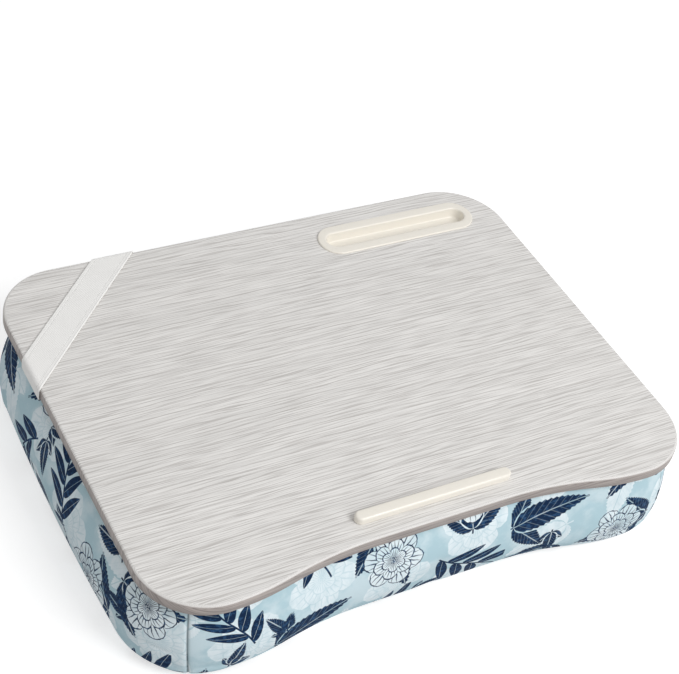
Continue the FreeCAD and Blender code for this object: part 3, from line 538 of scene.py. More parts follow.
class Finish:
    """A node material under construction."""

    def __init__(self, name, roughness, **constants):
        self.material = bpy.data.materials.new(name)
        self.material.use_nodes = True
        self.tree = self.material.node_tree
        self.shader = self.tree.nodes["Principled BSDF"]
        self.shader.inputs["Roughness"].default_value = roughness
        for socket, number in constants.items():
            self.shader.inputs[socket.replace("_", " ")].default_value = number

    def node(self, kind, **items):
        """New node with the inputs that are given."""
        node = self.tree.nodes.new(f"ShaderNode{kind}")
        for name, item in items.items():
            feed(self.tree, item, node.inputs[name])
        return node

    def split(self, socket):
        return [Field(self.tree, out) for out in self.node("SeparateXYZ", Vector=socket).outputs]

    def place(self):
        """Position in the shared frame."""
        return self.split(self.node("TexCoord").outputs["Object"])

    def facing(self):
        """Direction that the surface faces."""
        return self.split(self.node("NewGeometry").outputs["Normal"])

    def cut(self):
        """Place on the flat cloth."""
        node = self.node("UVMap")
        node.uv_map = "cut"
        return self.split(node.outputs["UV"])[:2]

    def mark(self, name):
        """A number that the mesh keeps at each point."""
        node = self.node("Attribute")
        node.attribute_name = name
        return Field(self.tree, node.outputs["Fac"])

    def noise(self, x, y, z=0.0, scale=1.0, detail=2.0, roughness=0.5):
        place = self.node("CombineXYZ", X=x, Y=y, Z=z).outputs[0]
        node = self.node("TexNoise", Vector=place, Scale=scale, Detail=detail, Roughness=roughness)
        return Field(self.tree, node.outputs[0])

    def chance(self, x, y, seed):
        """Three random numbers for each whole x and y."""
        place = self.node("CombineXYZ", X=x, Y=y, Z=seed).outputs[0]
        node = self.node("TexWhiteNoise", Vector=place)
        node.noise_dimensions = "3D"
        return self.split(node.outputs["Color"])

    def mix(self, factor, first, second):
        """Colour that goes from the first to the second as the factor rises."""
        node = self.node("Mix")
        node.data_type = "RGBA"
        for index, item in ((0, factor), (6, first), (7, second)):
            feed(self.tree, item, node.inputs[index])
        return node.outputs[2]

    def paint(self, socket):
        self.tree.links.new(socket, self.shader.inputs["Base Color"])

    def polish(self, field):
        self.tree.links.new(field.socket, self.shader.inputs["Roughness"])

    def emboss(self, field, distance):
        node = self.node("Bump", Distance=distance, Height=field)
        self.tree.links.new(node.outputs["Normal"], self.shader.inputs["Normal"])


def shade(tone, share):
    """A darker or lighter version of a colour."""
    return [channel * share for channel in tone]


def wood_finish():
    """Whitewashed grain: thin wavy dark lines along the board, carried over its edges.

    Each set of lines is a wave across the grain whose phase drifts with a stretched noise. A second
    noise sets the lines' width and breaks them up. The edge is painted darker towards the underside, as
    shade.
    """
    hue = sizes("colours")
    finish = Finish("woodgrain_foil", 0.45)
    x, y, z = finish.place()
    ny, nz = finish.facing()[1:]
    across = y + z * abs(ny)
    sets = ((0.0052, 0.0, 0.62), (0.0031, 9.0, 0.72), (0.0018, 21.0, 0.8))
    wander, thin, breadth, blur = 2.4, 0.36, 0.36, 0.08
    lines = None
    for pitch, seed, weight in sets:
        drift = finish.noise(x * 11.0 + seed, across * (0.26 / pitch), detail=2.0)
        width = finish.noise(x * 24.0 - seed, across * (0.7 / pitch), detail=1.0)
        phase = across / pitch + drift * wander
        line = abs(phase.fract() - 0.5).under((width - thin) * breadth, blur) * weight
        lines = line if lines is None else lines.most(line)
    hair = finish.noise(x * 34.0, across * 1000.0, detail=2.0, roughness=0.6)
    broad = finish.noise(x * 3.0, across * 60.0, detail=2.0)
    grain = (hair * 0.7 + broad * 0.3).over(0.5, 0.16)
    tone = finish.mix(lines, finish.mix(grain, shade(hue.wood_light, 0.83), hue.wood_light), hue.wood_dark)
    dark = shade(hue.wood_edge, 0.45)
    rim = finish.mix(lines * 1.5, finish.mix(grain, shade(hue.wood_edge, 0.75), hue.wood_edge), dark)
    # Painted shade: the board's edge grows darker towards its underside
    painted_low_edge_shade = z.under(BOARD_UNDERSIDE + 3 * MM, 2 * MM)
    rim = finish.mix(painted_low_edge_shade * 0.6, rim, dark)
    finish.paint(finish.mix(nz.under(0.45, 0.3) * 0.9, tone, rim))
    finish.polish(0.38 + hair * 0.2)
    finish.emboss(hair * 0.4 - lines, 0.1 * MM)
    return finish.material


def ivory_finish():
    """Satin moulded plastic with a faint mottled texture."""
    hue = sizes("colours")
    finish = Finish("ivory_plastic", 0.5, Specular_IOR_Level=0.3, Subsurface_Weight=0.06)
    finish.shader.inputs["Subsurface Radius"].default_value = (0.004, 0.003, 0.002)
    x, y, z = finish.place()
    cloud = finish.noise(x, y, z, scale=45.0, detail=3.0)
    speck = finish.noise(x, y, z, scale=1400.0, detail=1.0)
    finish.paint(finish.mix(cloud.over(0.5, 0.3), shade(hue.ivory, 0.95), hue.ivory))
    finish.polish(0.45 + cloud * 0.12)
    finish.emboss(speck, 0.03 * MM)
    return finish.material


def webbing_finish():
    """Knitted elastic: fine ribs along the strap, close courses across it and a firm selvedge."""
    hue = sizes("colours")
    finish = Finish("elastic_webbing", 0.62, Sheen_Weight=0.12, Sheen_Roughness=0.4)
    along, across = finish.cut()
    rib_pitch, course_pitch = 1.1 * MM, 0.9 * MM
    selvedge, inner_line, outer_line = 9.8 * MM, 9.3 * MM, 11.2 * MM
    rib = (across * (2 * math.pi / rib_pitch)).sin()
    course = (along * (2 * math.pi / course_pitch)).sin()
    weave = rib * 0.7 + course * 0.3
    border = abs(across).over(selvedge, 0.6 * MM)
    cloud = finish.noise(along, across, scale=60.0, detail=3.0)
    # Random mottle, and painted shade that darkens the strap where the weave's ribs and courses dip
    mottle_and_weave_shade = cloud.over(0.5, 0.3) * 0.6 + weave.over(0.0, 0.9) * 0.4
    tone = finish.mix(mottle_and_weave_shade, shade(hue.webbing, 0.93), hue.webbing)
    firm = 0.3 + across.under(0.0, 1 * MM) * 0.7
    inner = abs(abs(across) - inner_line).under(0.22 * MM, 0.12 * MM)
    outer = abs(abs(across) - outer_line).under(0.2 * MM, 0.1 * MM)
    finish.paint(finish.mix(inner.most(outer) * firm * 0.45, tone, shade(hue.webbing, 0.55)))
    finish.emboss(weave * (1.0 - border * 0.4), 0.08 * MM)
    return finish.material


# Print: spacing of the motifs, and sizes of a flower (radius), a spray (length, half the width of its long
# leaf) and a twig (length, distance between its pairs of leaves, a leaf's length and half width)
CELL, SMALL_CELL, PALE_CELL = 0.066, 0.033, 0.062
FLOWER, PALE_FLOWER = 0.0245, 0.029
SPRAY, SMALL_SPRAY, PALE_SPRAY = (0.066, 0.0118), (0.027, 0.0058), (0.055, 0.012)
TWIG = (0.064, 0.0155, 0.022, 0.0064)
# Least distance of a small spray from the middle of a large motif
SMALL_ROOM = 0.034
# Blur of a fine rib, a line, a twig's leaf, a toothed edge and a tip, and limits between the kinds of cell
RIB_BLUR, LINE_BLUR, LEAF_BLUR, EDGE_BLUR, TIP_BLUR = 0.00012, 0.0002, 0.00022, 0.0003, 0.0004
FIRST_KIND, LAST_KIND, KIND_BLUR = 0.17, 0.5, 0.01


def half_drop(finish, u, v, cell, seed, jitter):
    """Half-drop cells on the cloth: place in the cell, whose middle chance shifts, its kind and its turn.

    The kind is about 0, 1/3 or 2/3, so that neighbours differ.
    """
    column = (u / cell).floor()
    drop = v / cell + (column * 0.5).fract()
    row = drop.floor()
    first, second, third = finish.chance(column, row, seed)
    x = ((u / cell).fract() - 0.5 + (second - 0.5) * jitter) * cell
    y = (drop.fract() - 0.5 + (third - 0.5) * jitter) * cell
    kind = ((column * 2.0 + row) / 3.0 + 0.01).fract()
    return x, y, kind, first * (2 * math.pi)


def turned(x, y, cosine, sine):
    """Coordinates on axes turned by the angle of that cosine and sine."""
    return x * cosine + y * sine, y * cosine - x * sine


def leaf_form(x, y, size, half):
    """Below zero inside a leaf that grows along x from the origin to its point."""
    share = (x / size).clamp()
    return abs(y) - (share ** 0.5) * (1.0 - share) * (2.6 * half)


def twig(x, y, reach, gap, leaf, half):
    """Ink of a twig: a swaying stem with three alternate pairs of pointed leaves, each with a pale midrib."""
    bend = x + (y * (4.0 / reach)).sin() * (0.06 * reach)
    side = abs(bend)
    climb = (y - side * 0.85 + bend.sign() * (gap / 4)) / gap
    stem = side.under(0.75 * MM, LINE_BLUR) * abs(y).under(reach / 2, TIP_BLUR)
    offset = (climb.fract() - 0.5) * gap
    blade = leaf_form(side, offset, leaf, half).under(0.0, LEAF_BLUR) * side.under(leaf * 0.97, LINE_BLUR)
    grown = abs(climb.floor() + 1.0).under(1.5, 0.1)
    rib = abs(offset).under(0.2 * MM, RIB_BLUR)
    return stem.most(blade * (1.0 - rib * 0.6) * grown)


def blossom(finish, x, y, radius, petals):
    """Ink and ground of an open flower in line.

    Three rings of petals overlap inwards. A petal's edge bows out by the root of a cosine of the angle,
    ruffled by noise. Its veins fan from the base, where they are widest, and a dotted eye fills the middle.
    """
    far = (x * x + y * y) ** 0.5
    bearing = y.arctan2(x)
    ruffle = finish.noise(x, y, scale=150.0, detail=2.0) - 0.5
    rings = ((1.0, 0.0), (0.7, math.pi / petals), (0.42, 0.4))
    veins = petals * 5
    lines, ground = None, None
    for scale, turn in rings:
        lobe = abs(((bearing + turn) * (petals / 2)).cos()) ** 0.5
        edge = (lobe * 0.36 + 0.64 + ruffle * 0.18) * (radius * scale)
        inside = far.under(edge, LINE_BLUR)
        rim = abs(far - edge).under(0.5 * MM, LINE_BLUR)
        fan = ((bearing + turn + ruffle * 0.12) * (veins / (2 * math.pi))).fract()
        vein = abs(fan - 0.5).under((1.0 - far / edge) * 0.42, 0.07) * inside
        ring = rim.most(vein)
        lines = ring if lines is None else (lines * (1.0 - inside)).most(ring)
        ground = inside if ground is None else ground.most(inside)
    eye = far.under(radius * 0.13, EDGE_BLUR)
    dots = finish.noise(x, y, scale=900.0, detail=0.0).over(0.5, 0.08)
    return (lines * (1.0 - eye)).most(eye * (0.4 + dots * 0.6)), ground


def toothed_leaf(x, y, size, half):
    """Ink of one leaf along x: a toothed edge, a pale midrib and slanting veins."""
    tooth = size / 13
    teeth = abs(((x - abs(y) * 0.6) / tooth).fract() - 0.5) * (0.22 * half)
    blade = (leaf_form(x, y, size, half) + teeth).under(0.0, EDGE_BLUR)
    blade = blade * x.over(0.0, TIP_BLUR) * x.under(size, TIP_BLUR)
    rib = abs(y).under(0.4 * MM, LINE_BLUR)
    vein = abs(((x - abs(y) * 1.1) / (tooth * 1.4)).fract() - 0.5).under(0.06, 0.06)
    return blade * (1.0 - rib.most(vein * 0.25) * 0.7)


def leaf_spray(x, y, size, half):
    """Ink of three leaves that spring from one point, each with a pale gap round it, and a short stalk."""
    x = x + size * 0.45
    spray = abs(y).under(0.7 * MM, LINE_BLUR) * abs(x).under(size * 0.12, TIP_BLUR)
    for turn, share in ((-0.9, 0.62), (0.95, 0.5), (0.06, 1.0)):
        along, beside = turned(x, y, math.cos(turn), math.sin(turn))
        reach, breadth = size * share, half * share ** 0.5
        gap = leaf_form(along, beside, reach, breadth).under(0.7 * MM, LINE_BLUR) * along.over(0.0, TIP_BLUR)
        spray = (spray * (1.0 - gap)).most(toothed_leaf(along, beside, reach, breadth))
    return spray


def pale_print(finish, u, v):
    """Share of pale tint: flowers and leaves in washed tone, and clouds between them."""
    x, y, kind, turn = half_drop(finish, u + 0.047, v + 0.022, PALE_CELL, 7.0, 0.1)
    x, y = turned(x, y, turn.cos(), turn.sin())
    lines, petals = blossom(finish, x, y, PALE_FLOWER, 5)
    flower = petals * (1.0 - lines * 0.45) * kind.under(LAST_KIND, KIND_BLUR)
    spray = leaf_spray(x, y, *PALE_SPRAY) * kind.over(LAST_KIND, KIND_BLUR)
    brush = finish.noise(u, v * 0.5, scale=160.0, detail=3.0).over(0.45, 0.2)
    cloud = finish.noise(u, v, scale=30.0, detail=4.0, roughness=0.6).over(0.52, 0.1)
    return (flower.most(spray) * (0.5 + brush * 0.35)).most(cloud * 0.4)


def dark_print(finish, u, v):
    """Ink, and the pale ground of the flowers.

    A cell holds a flower with leaves, a leaf spray or a twig. Small sprays stand where these leave room.
    """
    seed, jitter = 1.0, 0.05
    x, y, kind, turn = half_drop(finish, u, v, CELL, seed, jitter)
    x, y = turned(x, y, turn.cos(), turn.sin())
    is_flower, is_twig = kind.under(FIRST_KIND, KIND_BLUR), kind.over(LAST_KIND, KIND_BLUR)
    lines, petals = blossom(finish, x, y, FLOWER, 6)
    spray = leaf_spray(x, y, *SPRAY)
    ink = (lines.most(spray * (1.0 - petals)) * is_flower).most(spray * (1.0 - is_flower - is_twig))
    ink = ink.most(twig(x, y, *TWIG) * is_twig)
    x, y, _, turn = half_drop(finish, u + 0.01, v + 0.03, SMALL_CELL, 3.0, 0.3)
    far_x, far_y = half_drop(finish, u - x, v - y, CELL, seed, jitter)[:2]
    room = (far_x * far_x + far_y * far_y).over(SMALL_ROOM ** 2, 1e-7)
    x, y = turned(x, y, turn.cos(), turn.sin())
    return ink.most(leaf_spray(x, y, *SMALL_SPRAY) * room), petals * is_flower


def cloth_finish():
    """Printed polyester: pale shapes and dark flowers, twigs and leaves, over a fine plain weave."""
    hue = sizes("colours")
    finish = Finish(
        "cover_fabric", 0.75, Sheen_Weight=0.012, Sheen_Roughness=0.4, Specular_IOR_Level=0.12
    )
    u, v = finish.cut()
    ink, petals = dark_print(finish, u, v)
    tone = finish.mix(pale_print(finish, u, v), hue.ground, hue.tint)
    tone = finish.mix(petals * 0.5, tone, hue.tint)
    strokes = finish.noise(u * 0.6, v, scale=330.0, detail=3.0, roughness=0.6).over(0.56, 0.08)
    tone = finish.mix(ink.clamp(), tone, finish.mix(strokes, hue.ink, hue.ink_wash))
    # Painted shade: the cloth is darkened to a fifth of its ground colour along each corner seam's groove
    seam = finish.mark("seam")
    finish.paint(finish.mix(seam * seam * 0.85, tone, shade(hue.ground, 0.2)))
    threads = 2 * math.pi / (0.6 * MM)
    finish.emboss((u * threads).sin() * (v * threads).sin(), 0.04 * MM)
    return finish.material


def core_finish():
    """Raw fibreboard: fine matted fibres."""
    hue = sizes("colours")
    finish = Finish("fibreboard", 0.85)
    x, y, z = finish.place()
    fibre = finish.noise(x, y, z, scale=520.0, detail=4.0, roughness=0.7)
    finish.paint(finish.mix(fibre.over(0.5, 0.2), shade(hue.core, 0.7), hue.core))
    finish.emboss(fibre, 0.1 * MM)
    return finish.material


def felt_finish():
    """Needled felt: matted fibres with pale flecks."""
    hue = sizes("colours")
    finish = Finish("felt", 0.95, Sheen_Weight=0.2)
    x, y, z = finish.place()
    mat = finish.noise(x, y, z, scale=700.0, detail=4.0, roughness=0.7)
    fleck = finish.noise(x, y, z, scale=240.0, detail=2.0).over(0.66, 0.04)
    tone = finish.mix(mat.over(0.5, 0.2), shade(hue.felt, 0.6), hue.felt)
    finish.paint(finish.mix(fleck * 0.5, tone, shade(hue.felt, 3.0)))
    finish.emboss(mat, 0.2 * MM)
    return finish.material


def steel_finish():
    """Zinc-plated steel with drawn lines."""
    hue = sizes("colours")
    finish = Finish("steel", 0.32, Metallic=1.0)
    x, y, z = finish.place()
    drawn = finish.noise(x * 300.0, y * 300.0, z * 3000.0, detail=2.0)
    finish.paint(finish.mix(drawn.over(0.5, 0.25), shade(hue.steel, 0.8), hue.steel))
    finish.polish(0.25 + drawn * 0.2)
    return finish.material


def dress(piece, material):
    """Give a piece one material."""
    piece.data.materials.clear()
    piece.data.materials.append(material)


# Pieces


class LAPTRAY_OT_board(bpy.types.Operator):
    """Give the board, its felt, staples and screws their finishes"""

    bl_idname = "laptray.board"
    bl_label = "Board finishes"

    def execute(self, context):
        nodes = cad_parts
        dress(nodes["woodgrain_foil"], wood_finish())
        dress(nodes["board_core"], core_finish())
        dress(nodes["cushion_backing"], felt_finish())
        steel = steel_finish()
        for name in ("cushion_staples", "strap_staples", "ledge_screws"):
            dress(nodes[name], steel)
        return {"FINISHED"}


# Mouldings: the gap under a piece that lies on the board, the holder's bevels, roundings, walls and draft,
# and the ledge's toe, as inset and rise, and the rise of its top to the middle
SEAT_GAP = 0.02 * MM
TUB_BEVEL, RIM_BEVEL = 0.5 * MM, 0.3 * MM
RIM_ROUND, SLOT_LIP, SLOT_FOOT = 1.0 * MM, 1.6 * MM, 1.5 * MM
TUB_WALL, TUB_FLOOR = 1.7 * MM, 1.5 * MM
SLOT_DRAFT = math.radians(10)
LEDGE_TOE = ((0.4 * MM, 0.0), (0.3 * MM, 0.1 * MM), (0.0, 0.5 * MM))
LEDGE_CROWN = 0.1 * MM


def rounding(edge, span, level, inset, drop, count):
    """Rows of a quarter circle from an edge, a drop below a level, to the level, an inset from the edge."""
    turn = quarter_turn(count)
    edges, heights = edge - inset * (1 - np.cos(turn)), level - drop * (1 - np.sin(turn))
    return [(radius, span, height) for radius, height in zip(edges, heights)]


def stadium_rows(rows, centre, turns):
    """Grid of round-ended slot outlines, one for each (radius, half span, height) row."""
    turn = np.linspace(0, 2 * math.pi, 4 * turns, endpoint=False) + math.pi / (4 * turns)
    radius, span, height = (column[:, None] for column in np.array(rows).T)
    x = centre[0] + np.sign(np.cos(turn)) * span + radius * np.cos(turn)
    y = centre[1] + radius * np.sin(turn)
    return np.stack([x, y, height + 0 * x], axis=-1)


def mould(name, node, rows, turns):
    """Ivory piece whose slot outlines lie round the middle of the node that it stands for."""
    low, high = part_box(node)
    centre = ((low.x + high.x) / 2, (low.y + high.y) / 2)
    piece = grid_piece(name, stadium_rows(rows, centre, turns))
    dress(piece, bpy.data.materials.get("ivory_plastic") or ivory_finish())
    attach(piece, "tray")
    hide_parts(node)


class LAPTRAY_OT_ledge(bpy.types.Operator):
    """Mould the stop ledge: a round-ended bar with softly rounded upper edges"""

    bl_idname = "laptray.ledge"
    bl_label = "Stop ledge"

    def execute(self, context):
        m = sizes("moulding")
        half, span = m.ledge_width / 2, (m.ledge_length - m.ledge_width) / 2
        top, seat = BOARD_TOP + m.ledge_height, BOARD_TOP + SEAT_GAP
        rows = [(0.0, span, seat)]
        rows += [(half - inset, span, seat + rise) for inset, rise in LEDGE_TOE]
        rows += rounding(half, span, top, m.ledge_round, m.ledge_round, 8)
        rows += [(half * 0.3, span, top + LEDGE_CROWN * 0.8), (0.0, span, top + LEDGE_CROWN)]
        mould("ledge_bar", "device_ledge", rows, 12)
        return {"FINISHED"}


class LAPTRAY_OT_holder(bpy.types.Operator):
    """Mould the phone holder: a rim on the board, a drafted slot and the tub round it"""

    bl_idname = "laptray.holder"
    bl_label = "Phone holder"

    def execute(self, context):
        m = sizes("moulding")
        rim_half, rim_span = m.holder_width / 2, (m.holder_length - m.holder_width) / 2
        slot_half, slot_span = m.slot_width / 2, (m.slot_length - m.slot_width) / 2
        top, seat, under = BOARD_TOP + m.rim, BOARD_TOP + SEAT_GAP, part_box("phone_holder")[0].z
        tub, floor = slot_half + TUB_WALL, under + TUB_FLOOR
        rows = [(0.0, slot_span, under), (tub - TUB_BEVEL, slot_span, under)]
        rows += [(tub, slot_span, under + TUB_BEVEL), (tub, slot_span, seat)]
        rows += [(rim_half - RIM_BEVEL, rim_span, seat), (rim_half, rim_span, seat + RIM_BEVEL)]
        rows += rounding(rim_half, rim_span, top, RIM_ROUND, RIM_ROUND, 7)
        rows += rounding(slot_half, slot_span, top, -SLOT_LIP, SLOT_LIP, 8)[::-1]
        depth = top - SLOT_LIP - floor
        narrowing = depth * math.tan(SLOT_DRAFT)
        rows.append((slot_half - 0.5 * narrowing, slot_span, floor + 0.5 * depth))
        rows += rounding(slot_half - narrowing, slot_span, floor, SLOT_FOOT, -SLOT_FOOT, 6)
        rows.append((0.0, slot_span, floor))
        mould("holder_moulding", "phone_holder", rows, 14)
        return {"FINISHED"}


# Strap: grooves beside the selvedge as distance from it and half width, their depth, and small roundings
STRAP_GROOVES = ((2.9 * MM, 0.35 * MM), (1.5 * MM, 0.3 * MM))
GROOVE_DEPTH = 0.16 * MM
SELVEDGE_ROUND = 0.5 * MM
LOWER_TURN = 0.05 * MM
STRAIGHT = 1 * MM


def strap_section(s):
    """Closed section of the webbing: distance across it and height over its lower face.

    The upper face has a bead along each selvedge and two shallow grooves beside it.
    """
    across = np.linspace(-1, 1, 61) * (s.width / 2)
    inset = s.width / 2 - np.abs(across)
    groove = sum(np.exp(-((inset - place) / half) ** 2) for place, half in STRAP_GROOVES)
    edge = np.sqrt(np.clip(inset / SELVEDGE_ROUND, 0, 1))
    upper = s.thick * (0.5 + 0.5 * edge) - GROOVE_DEPTH * groove
    lower = s.thick * (0.5 - 0.5 * edge)
    wide = np.concatenate([across, across[-2:0:-1]])
    tall = np.concatenate([upper, lower[-2:0:-1]])
    return wide, tall


def strap_path(s):
    """Half the strap's way, seen along the board's edge: distance inside the edge and height.

    It returns the way of the lower face, the direction that the upper face is offset in and the
    share of the span to the middle: under the board, round the lower edge, up, round the upper edge
    and on to where the span starts, which the last rows share out.
    """
    gap, turn = s.lift, s.edge_round + s.lift
    low, high = BOARD_UNDERSIDE - gap, BOARD_TOP + gap
    bend = quarter_turn(8)
    inner = np.linspace(s.tail, LOWER_TURN + STRAIGHT, 12)
    share = np.linspace(0, 1, 50)
    outer = 0 * share + turn + STRAIGHT
    distance = np.concatenate([
        inner, -gap + LOWER_TURN * (1 - np.sin(bend)), [-gap], turn - gap - turn * np.cos(bend), outer,
    ])
    height = np.concatenate([
        low + 0 * inner, low + LOWER_TURN * (1 - np.cos(bend)), [(low + high) / 2],
        high - turn + turn * np.sin(bend), high + 0 * outer,
    ])
    away = np.concatenate([0 * inner, -np.sin(bend), [-1.0], -np.cos(bend), 0 * outer])
    up = np.concatenate([0 * inner - 1, -np.cos(bend), [0.0], np.sin(bend), 0 * outer + 1])
    across = np.concatenate([np.zeros(len(distance) - len(share)), share])
    return distance, height, away, up, across


def strap_half(name, at_left):
    """Half the strap: its section carried along its way, slanted at 45 degrees across the corner."""
    s, board = sizes("strap"), sizes("board")
    wide, tall = strap_section(s)
    distance, height, away, up, share = strap_path(s)
    reach = s.reach / 2 - wide / math.sqrt(2)
    way = distance[:, None] + share[:, None] * (reach - distance[-1])
    fall = np.diff(height, prepend=height[0])[:, None]
    run = np.cumsum(np.hypot(np.diff(way, axis=0, prepend=way[:1]) * math.sqrt(2), fall), axis=0)
    inside = way + away[:, None] * tall
    level = height[:, None] + up[:, None] * tall
    slant = wide[None] * math.sqrt(2) + np.maximum(inside, 0)
    if at_left:
        x = -board.width / 2 + inside
        y = board.depth / 2 - s.reach + slant
    else:
        x = -board.width / 2 + s.reach - slant
        y = board.depth / 2 - inside
    points = np.stack([x, y, level], axis=-1)
    caps = [0 * points[end] + points[end].mean(axis=0) for end in (0, -1)]
    points = np.concatenate([caps[:1], points, caps[1:]])
    run = np.concatenate([run[:1], run, run[-1:]])
    row, column = quad_corners(*run.shape)
    column = column % len(wide)
    uv = np.stack([run[row, column], wide[column]], axis=-1).reshape(-1, 4, 2)
    return grid_piece(name, points, uv=uv, sharp=50.0, flip=at_left)


class LAPTRAY_OT_strap(bpy.types.Operator):
    """Weave the elastic strap in two halves that wrap round the board's edges and meet across the corner"""

    bl_idname = "laptray.strap"
    bl_label = "Elastic strap"

    def execute(self, context):
        s, board = sizes("strap"), sizes("board")
        left, back = -board.width / 2, board.depth / 2
        webbing = webbing_finish()
        starts = {
            "strap_left_half": (left + s.hinge, back - s.reach + s.hinge, BOARD_TOP),
            "strap_back_half": (left + s.reach - s.hinge, back - s.hinge, BOARD_TOP),
        }
        for name, start in starts.items():
            piece = strap_half(name, name == "strap_left_half")
            dress(piece, webbing)
            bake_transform(piece)
            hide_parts("elastic_strap")
        return {"FINISHED"}


class LAPTRAY_OT_cushion(bpy.types.Operator):
    """Sew and fill the two-part cushion under the board"""

    bl_idname = "laptray.cushion"
    bl_label = "Cushion"

    def execute(self, context):
        c = sizes("cushion")
        outline = Outline(sizes("board"), c)
        distance = cushion_columns(outline, c.columns)
        points, first, last = cushion_grid(outline, distance)
        away = seam_distance(outline, distance)
        rows = np.arange(len(points))[:, None]
        on_wall = (rows >= first) & (rows <= last)
        hold = np.exp(-(away / SEAM_HOLD) ** 2) * on_wall
        hold = np.maximum(hold, rows <= first + 1)
        hold = np.maximum(hold, np.exp(-(points[..., 0] / VALLEY_HOLD) ** 2) * (rows > last))
        # The seam mark sets the groove that press_seams draws in, and the painted shade along it in the
        # cloth's finish
        seam = np.exp(-(away / c.seam_half) ** 2) * on_wall * (rows > first + 1)
        uv = cushion_cut(outline, distance, points, first, last)
        marks = {"hold": hold, "seam": seam}
        piece = grid_piece("cushion", points, uv=uv, marks=marks, sharp=60.0, flip=True)
        kept = piece.data.attributes["hold"]
        hold = numbers(kept.data, "value", 1)
        piece.data.attributes.remove(kept)
        fill_cushion(piece, hold)
        press_seams(piece.data)
        dress(piece, cloth_finish())
        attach(piece, "tray")
        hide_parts(*COVER_NODES)
        return {"FINISHED"}


# Stage: lamps as place and power, the floor, and the eye's place, turn in degrees and lens in millimetres
LAMPS = {"key": ((0.9, -1.75, 2.0), 46.0), "fill": ((-1.7, -0.5, 1.5), 1.0)}
LAMP_AIM = (0, 0, 0.05)
LAMP_SIZE = 1.6
WORLD_LIGHT = 0.5
FLOOR_HALF = 4.0
FLOOR_LEVEL = -0.3 * MM
FLOOR_TONE = (0.62, 0.62, 0.62)
FLOOR_GLOW = 0.58
EYE_PLACE = (-0.5311, -0.7072, 0.9113)
EYE_TURN = (47.1935, -9.291, -27.9049)
EYE_LENS = 83.286
EYE_SENSOR = 36
EYE_REACH = 20


class LAPTRAY_OT_stage(bpy.types.Operator):
    """Set the floor, the lights and the camera"""

    bl_idname = "laptray.stage"
    bl_label = "Stage"

    def execute(self, context):
        scene = context.scene
        scene.view_settings.view_transform = "Standard"
        set_world(scene)
        set_floor(scene)
        for name, (place, power) in LAMPS.items():
            add_lamp(scene, name, place, power)
        set_camera(scene)
        return {"FINISHED"}


def seen_rays(tree):
    """One where a ray comes from the camera, a glossy surface or a clear one."""
    path = tree.nodes.new("ShaderNodeLightPath")
    names = ("Is Camera Ray", "Is Glossy Ray", "Is Transmission Ray")
    camera, glossy, clear = (Field(tree, path.outputs[name]) for name in names)
    return camera.most(glossy).most(clear)


def set_world(scene):
    """White for the camera, and an even dimmer light on the tray."""
    world = bpy.data.worlds.new("studio")
    scene.world = world
    world.use_nodes = True
    tree = world.node_tree
    background = tree.nodes["Background"]
    background.inputs["Color"].default_value = (1, 1, 1, 1)
    strength = seen_rays(tree) * (1 - WORLD_LIGHT) + WORLD_LIGHT
    tree.links.new(strength.socket, background.inputs["Strength"])


def set_floor(scene):
    """Pale floor that keeps a soft shadow."""
    corners = [(-1, -1), (1, -1), (1, 1), (-1, 1)]
    mesh = bpy.data.meshes.new("floor")
    points = [(x * FLOOR_HALF, y * FLOOR_HALF, FLOOR_LEVEL) for x, y in corners]
    mesh.from_pydata(points, [], [(0, 1, 2, 3)])
    floor = bpy.data.objects.new("floor", mesh)
    scene.collection.objects.link(floor)
    finish = Finish("floor", 0.9, Specular_IOR_Level=0.0)
    finish.shader.inputs["Base Color"].default_value = (*FLOOR_TONE, 1)
    finish.shader.inputs["Emission Color"].default_value = (1, 1, 1, 1)
    glow = seen_rays(finish.tree) * FLOOR_GLOW
    finish.tree.links.new(glow.socket, finish.shader.inputs["Emission Strength"])
    dress(floor, finish.material)


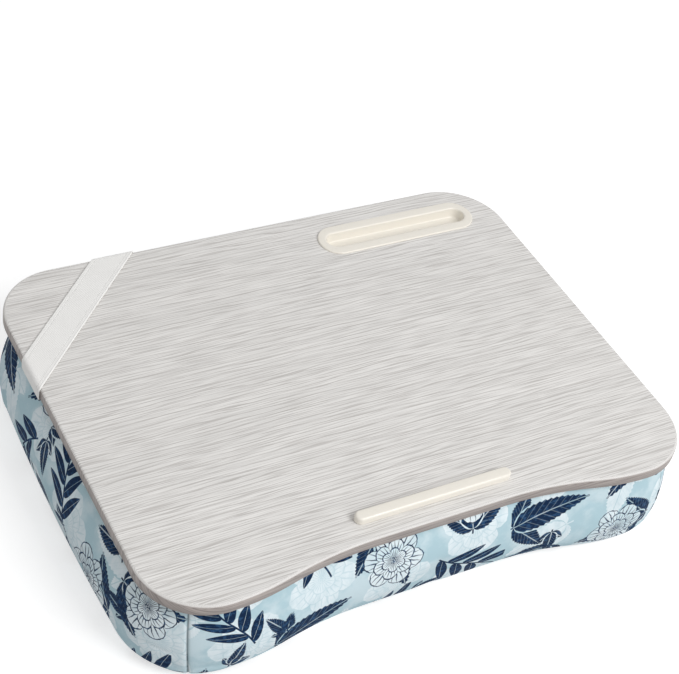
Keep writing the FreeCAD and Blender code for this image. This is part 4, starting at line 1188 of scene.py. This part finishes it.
def add_lamp(scene, name, place, power):
    """Round area lamp that points at the tray."""
    lamp = bpy.data.lights.new(name, "AREA")
    lamp.shape = "DISK"
    lamp.size = LAMP_SIZE
    lamp.energy = power
    light = bpy.data.objects.new(name, lamp)
    light.location = place
    light.rotation_euler = (Vector(LAMP_AIM) - Vector(place)).to_track_quat("-Z", "Y").to_euler()
    scene.collection.objects.link(light)


def set_camera(scene):
    """Camera at the photograph's viewing angle."""
    camera = bpy.data.cameras.new("view")
    camera.lens = EYE_LENS
    camera.sensor_width = EYE_SENSOR
    camera.clip_end = EYE_REACH
    eye = bpy.data.objects.new("view", camera)
    turn = Euler([math.radians(degrees) for degrees in EYE_TURN])
    eye.matrix_world = Matrix.LocRotScale(Vector(EYE_PLACE), turn, None)
    scene.collection.objects.link(eye)
    scene.camera = eye


class LAPTRAY_PT_panel(bpy.types.Panel):
    """Steps that dress the lap tray, in order"""

    bl_label = "Lap tray"
    bl_idname = "LAPTRAY_PT_panel"
    bl_space_type = "VIEW_3D"
    bl_region_type = "UI"
    bl_category = "Lap tray"

    def draw(self, context):
        for group in GROUPS:
            box = self.layout.box()
            box.label(text=group.title())
            settings = sizes(group)
            for name in settings.__annotations__:
                box.prop(settings, name)
        for operator in OPERATORS:
            self.layout.operator(operator.bl_idname)


GROUPS = {
    "board": TrayBoardSizes,
    "cushion": TrayCushionSizes,
    "strap": TrayStrapSizes,
    "moulding": TrayMouldingSizes,
    "colours": TrayColours,
}
OPERATORS = (
    LAPTRAY_OT_stage,
    LAPTRAY_OT_board,
    LAPTRAY_OT_ledge,
    LAPTRAY_OT_holder,
    LAPTRAY_OT_strap,
    LAPTRAY_OT_cushion,
)


def register():
    for item in (*GROUPS.values(), *OPERATORS, LAPTRAY_PT_panel):
        bpy.utils.register_class(item)
    for name, group in GROUPS.items():
        setattr(bpy.types.Scene, f"tray_{name}", PointerProperty(type=group))


def unregister():
    for name in GROUPS:
        delattr(bpy.types.Scene, f"tray_{name}")
    for item in reversed((*GROUPS.values(), *OPERATORS, LAPTRAY_PT_panel)):
        bpy.utils.unregister_class(item)


def main():
    register()
    bpy.ops.laptray.stage()
    bpy.ops.laptray.board()
    bpy.ops.laptray.ledge()
    bpy.ops.laptray.holder()
    bpy.ops.laptray.strap()
    bpy.ops.laptray.cushion()


if __name__ == "__main__":
    main()
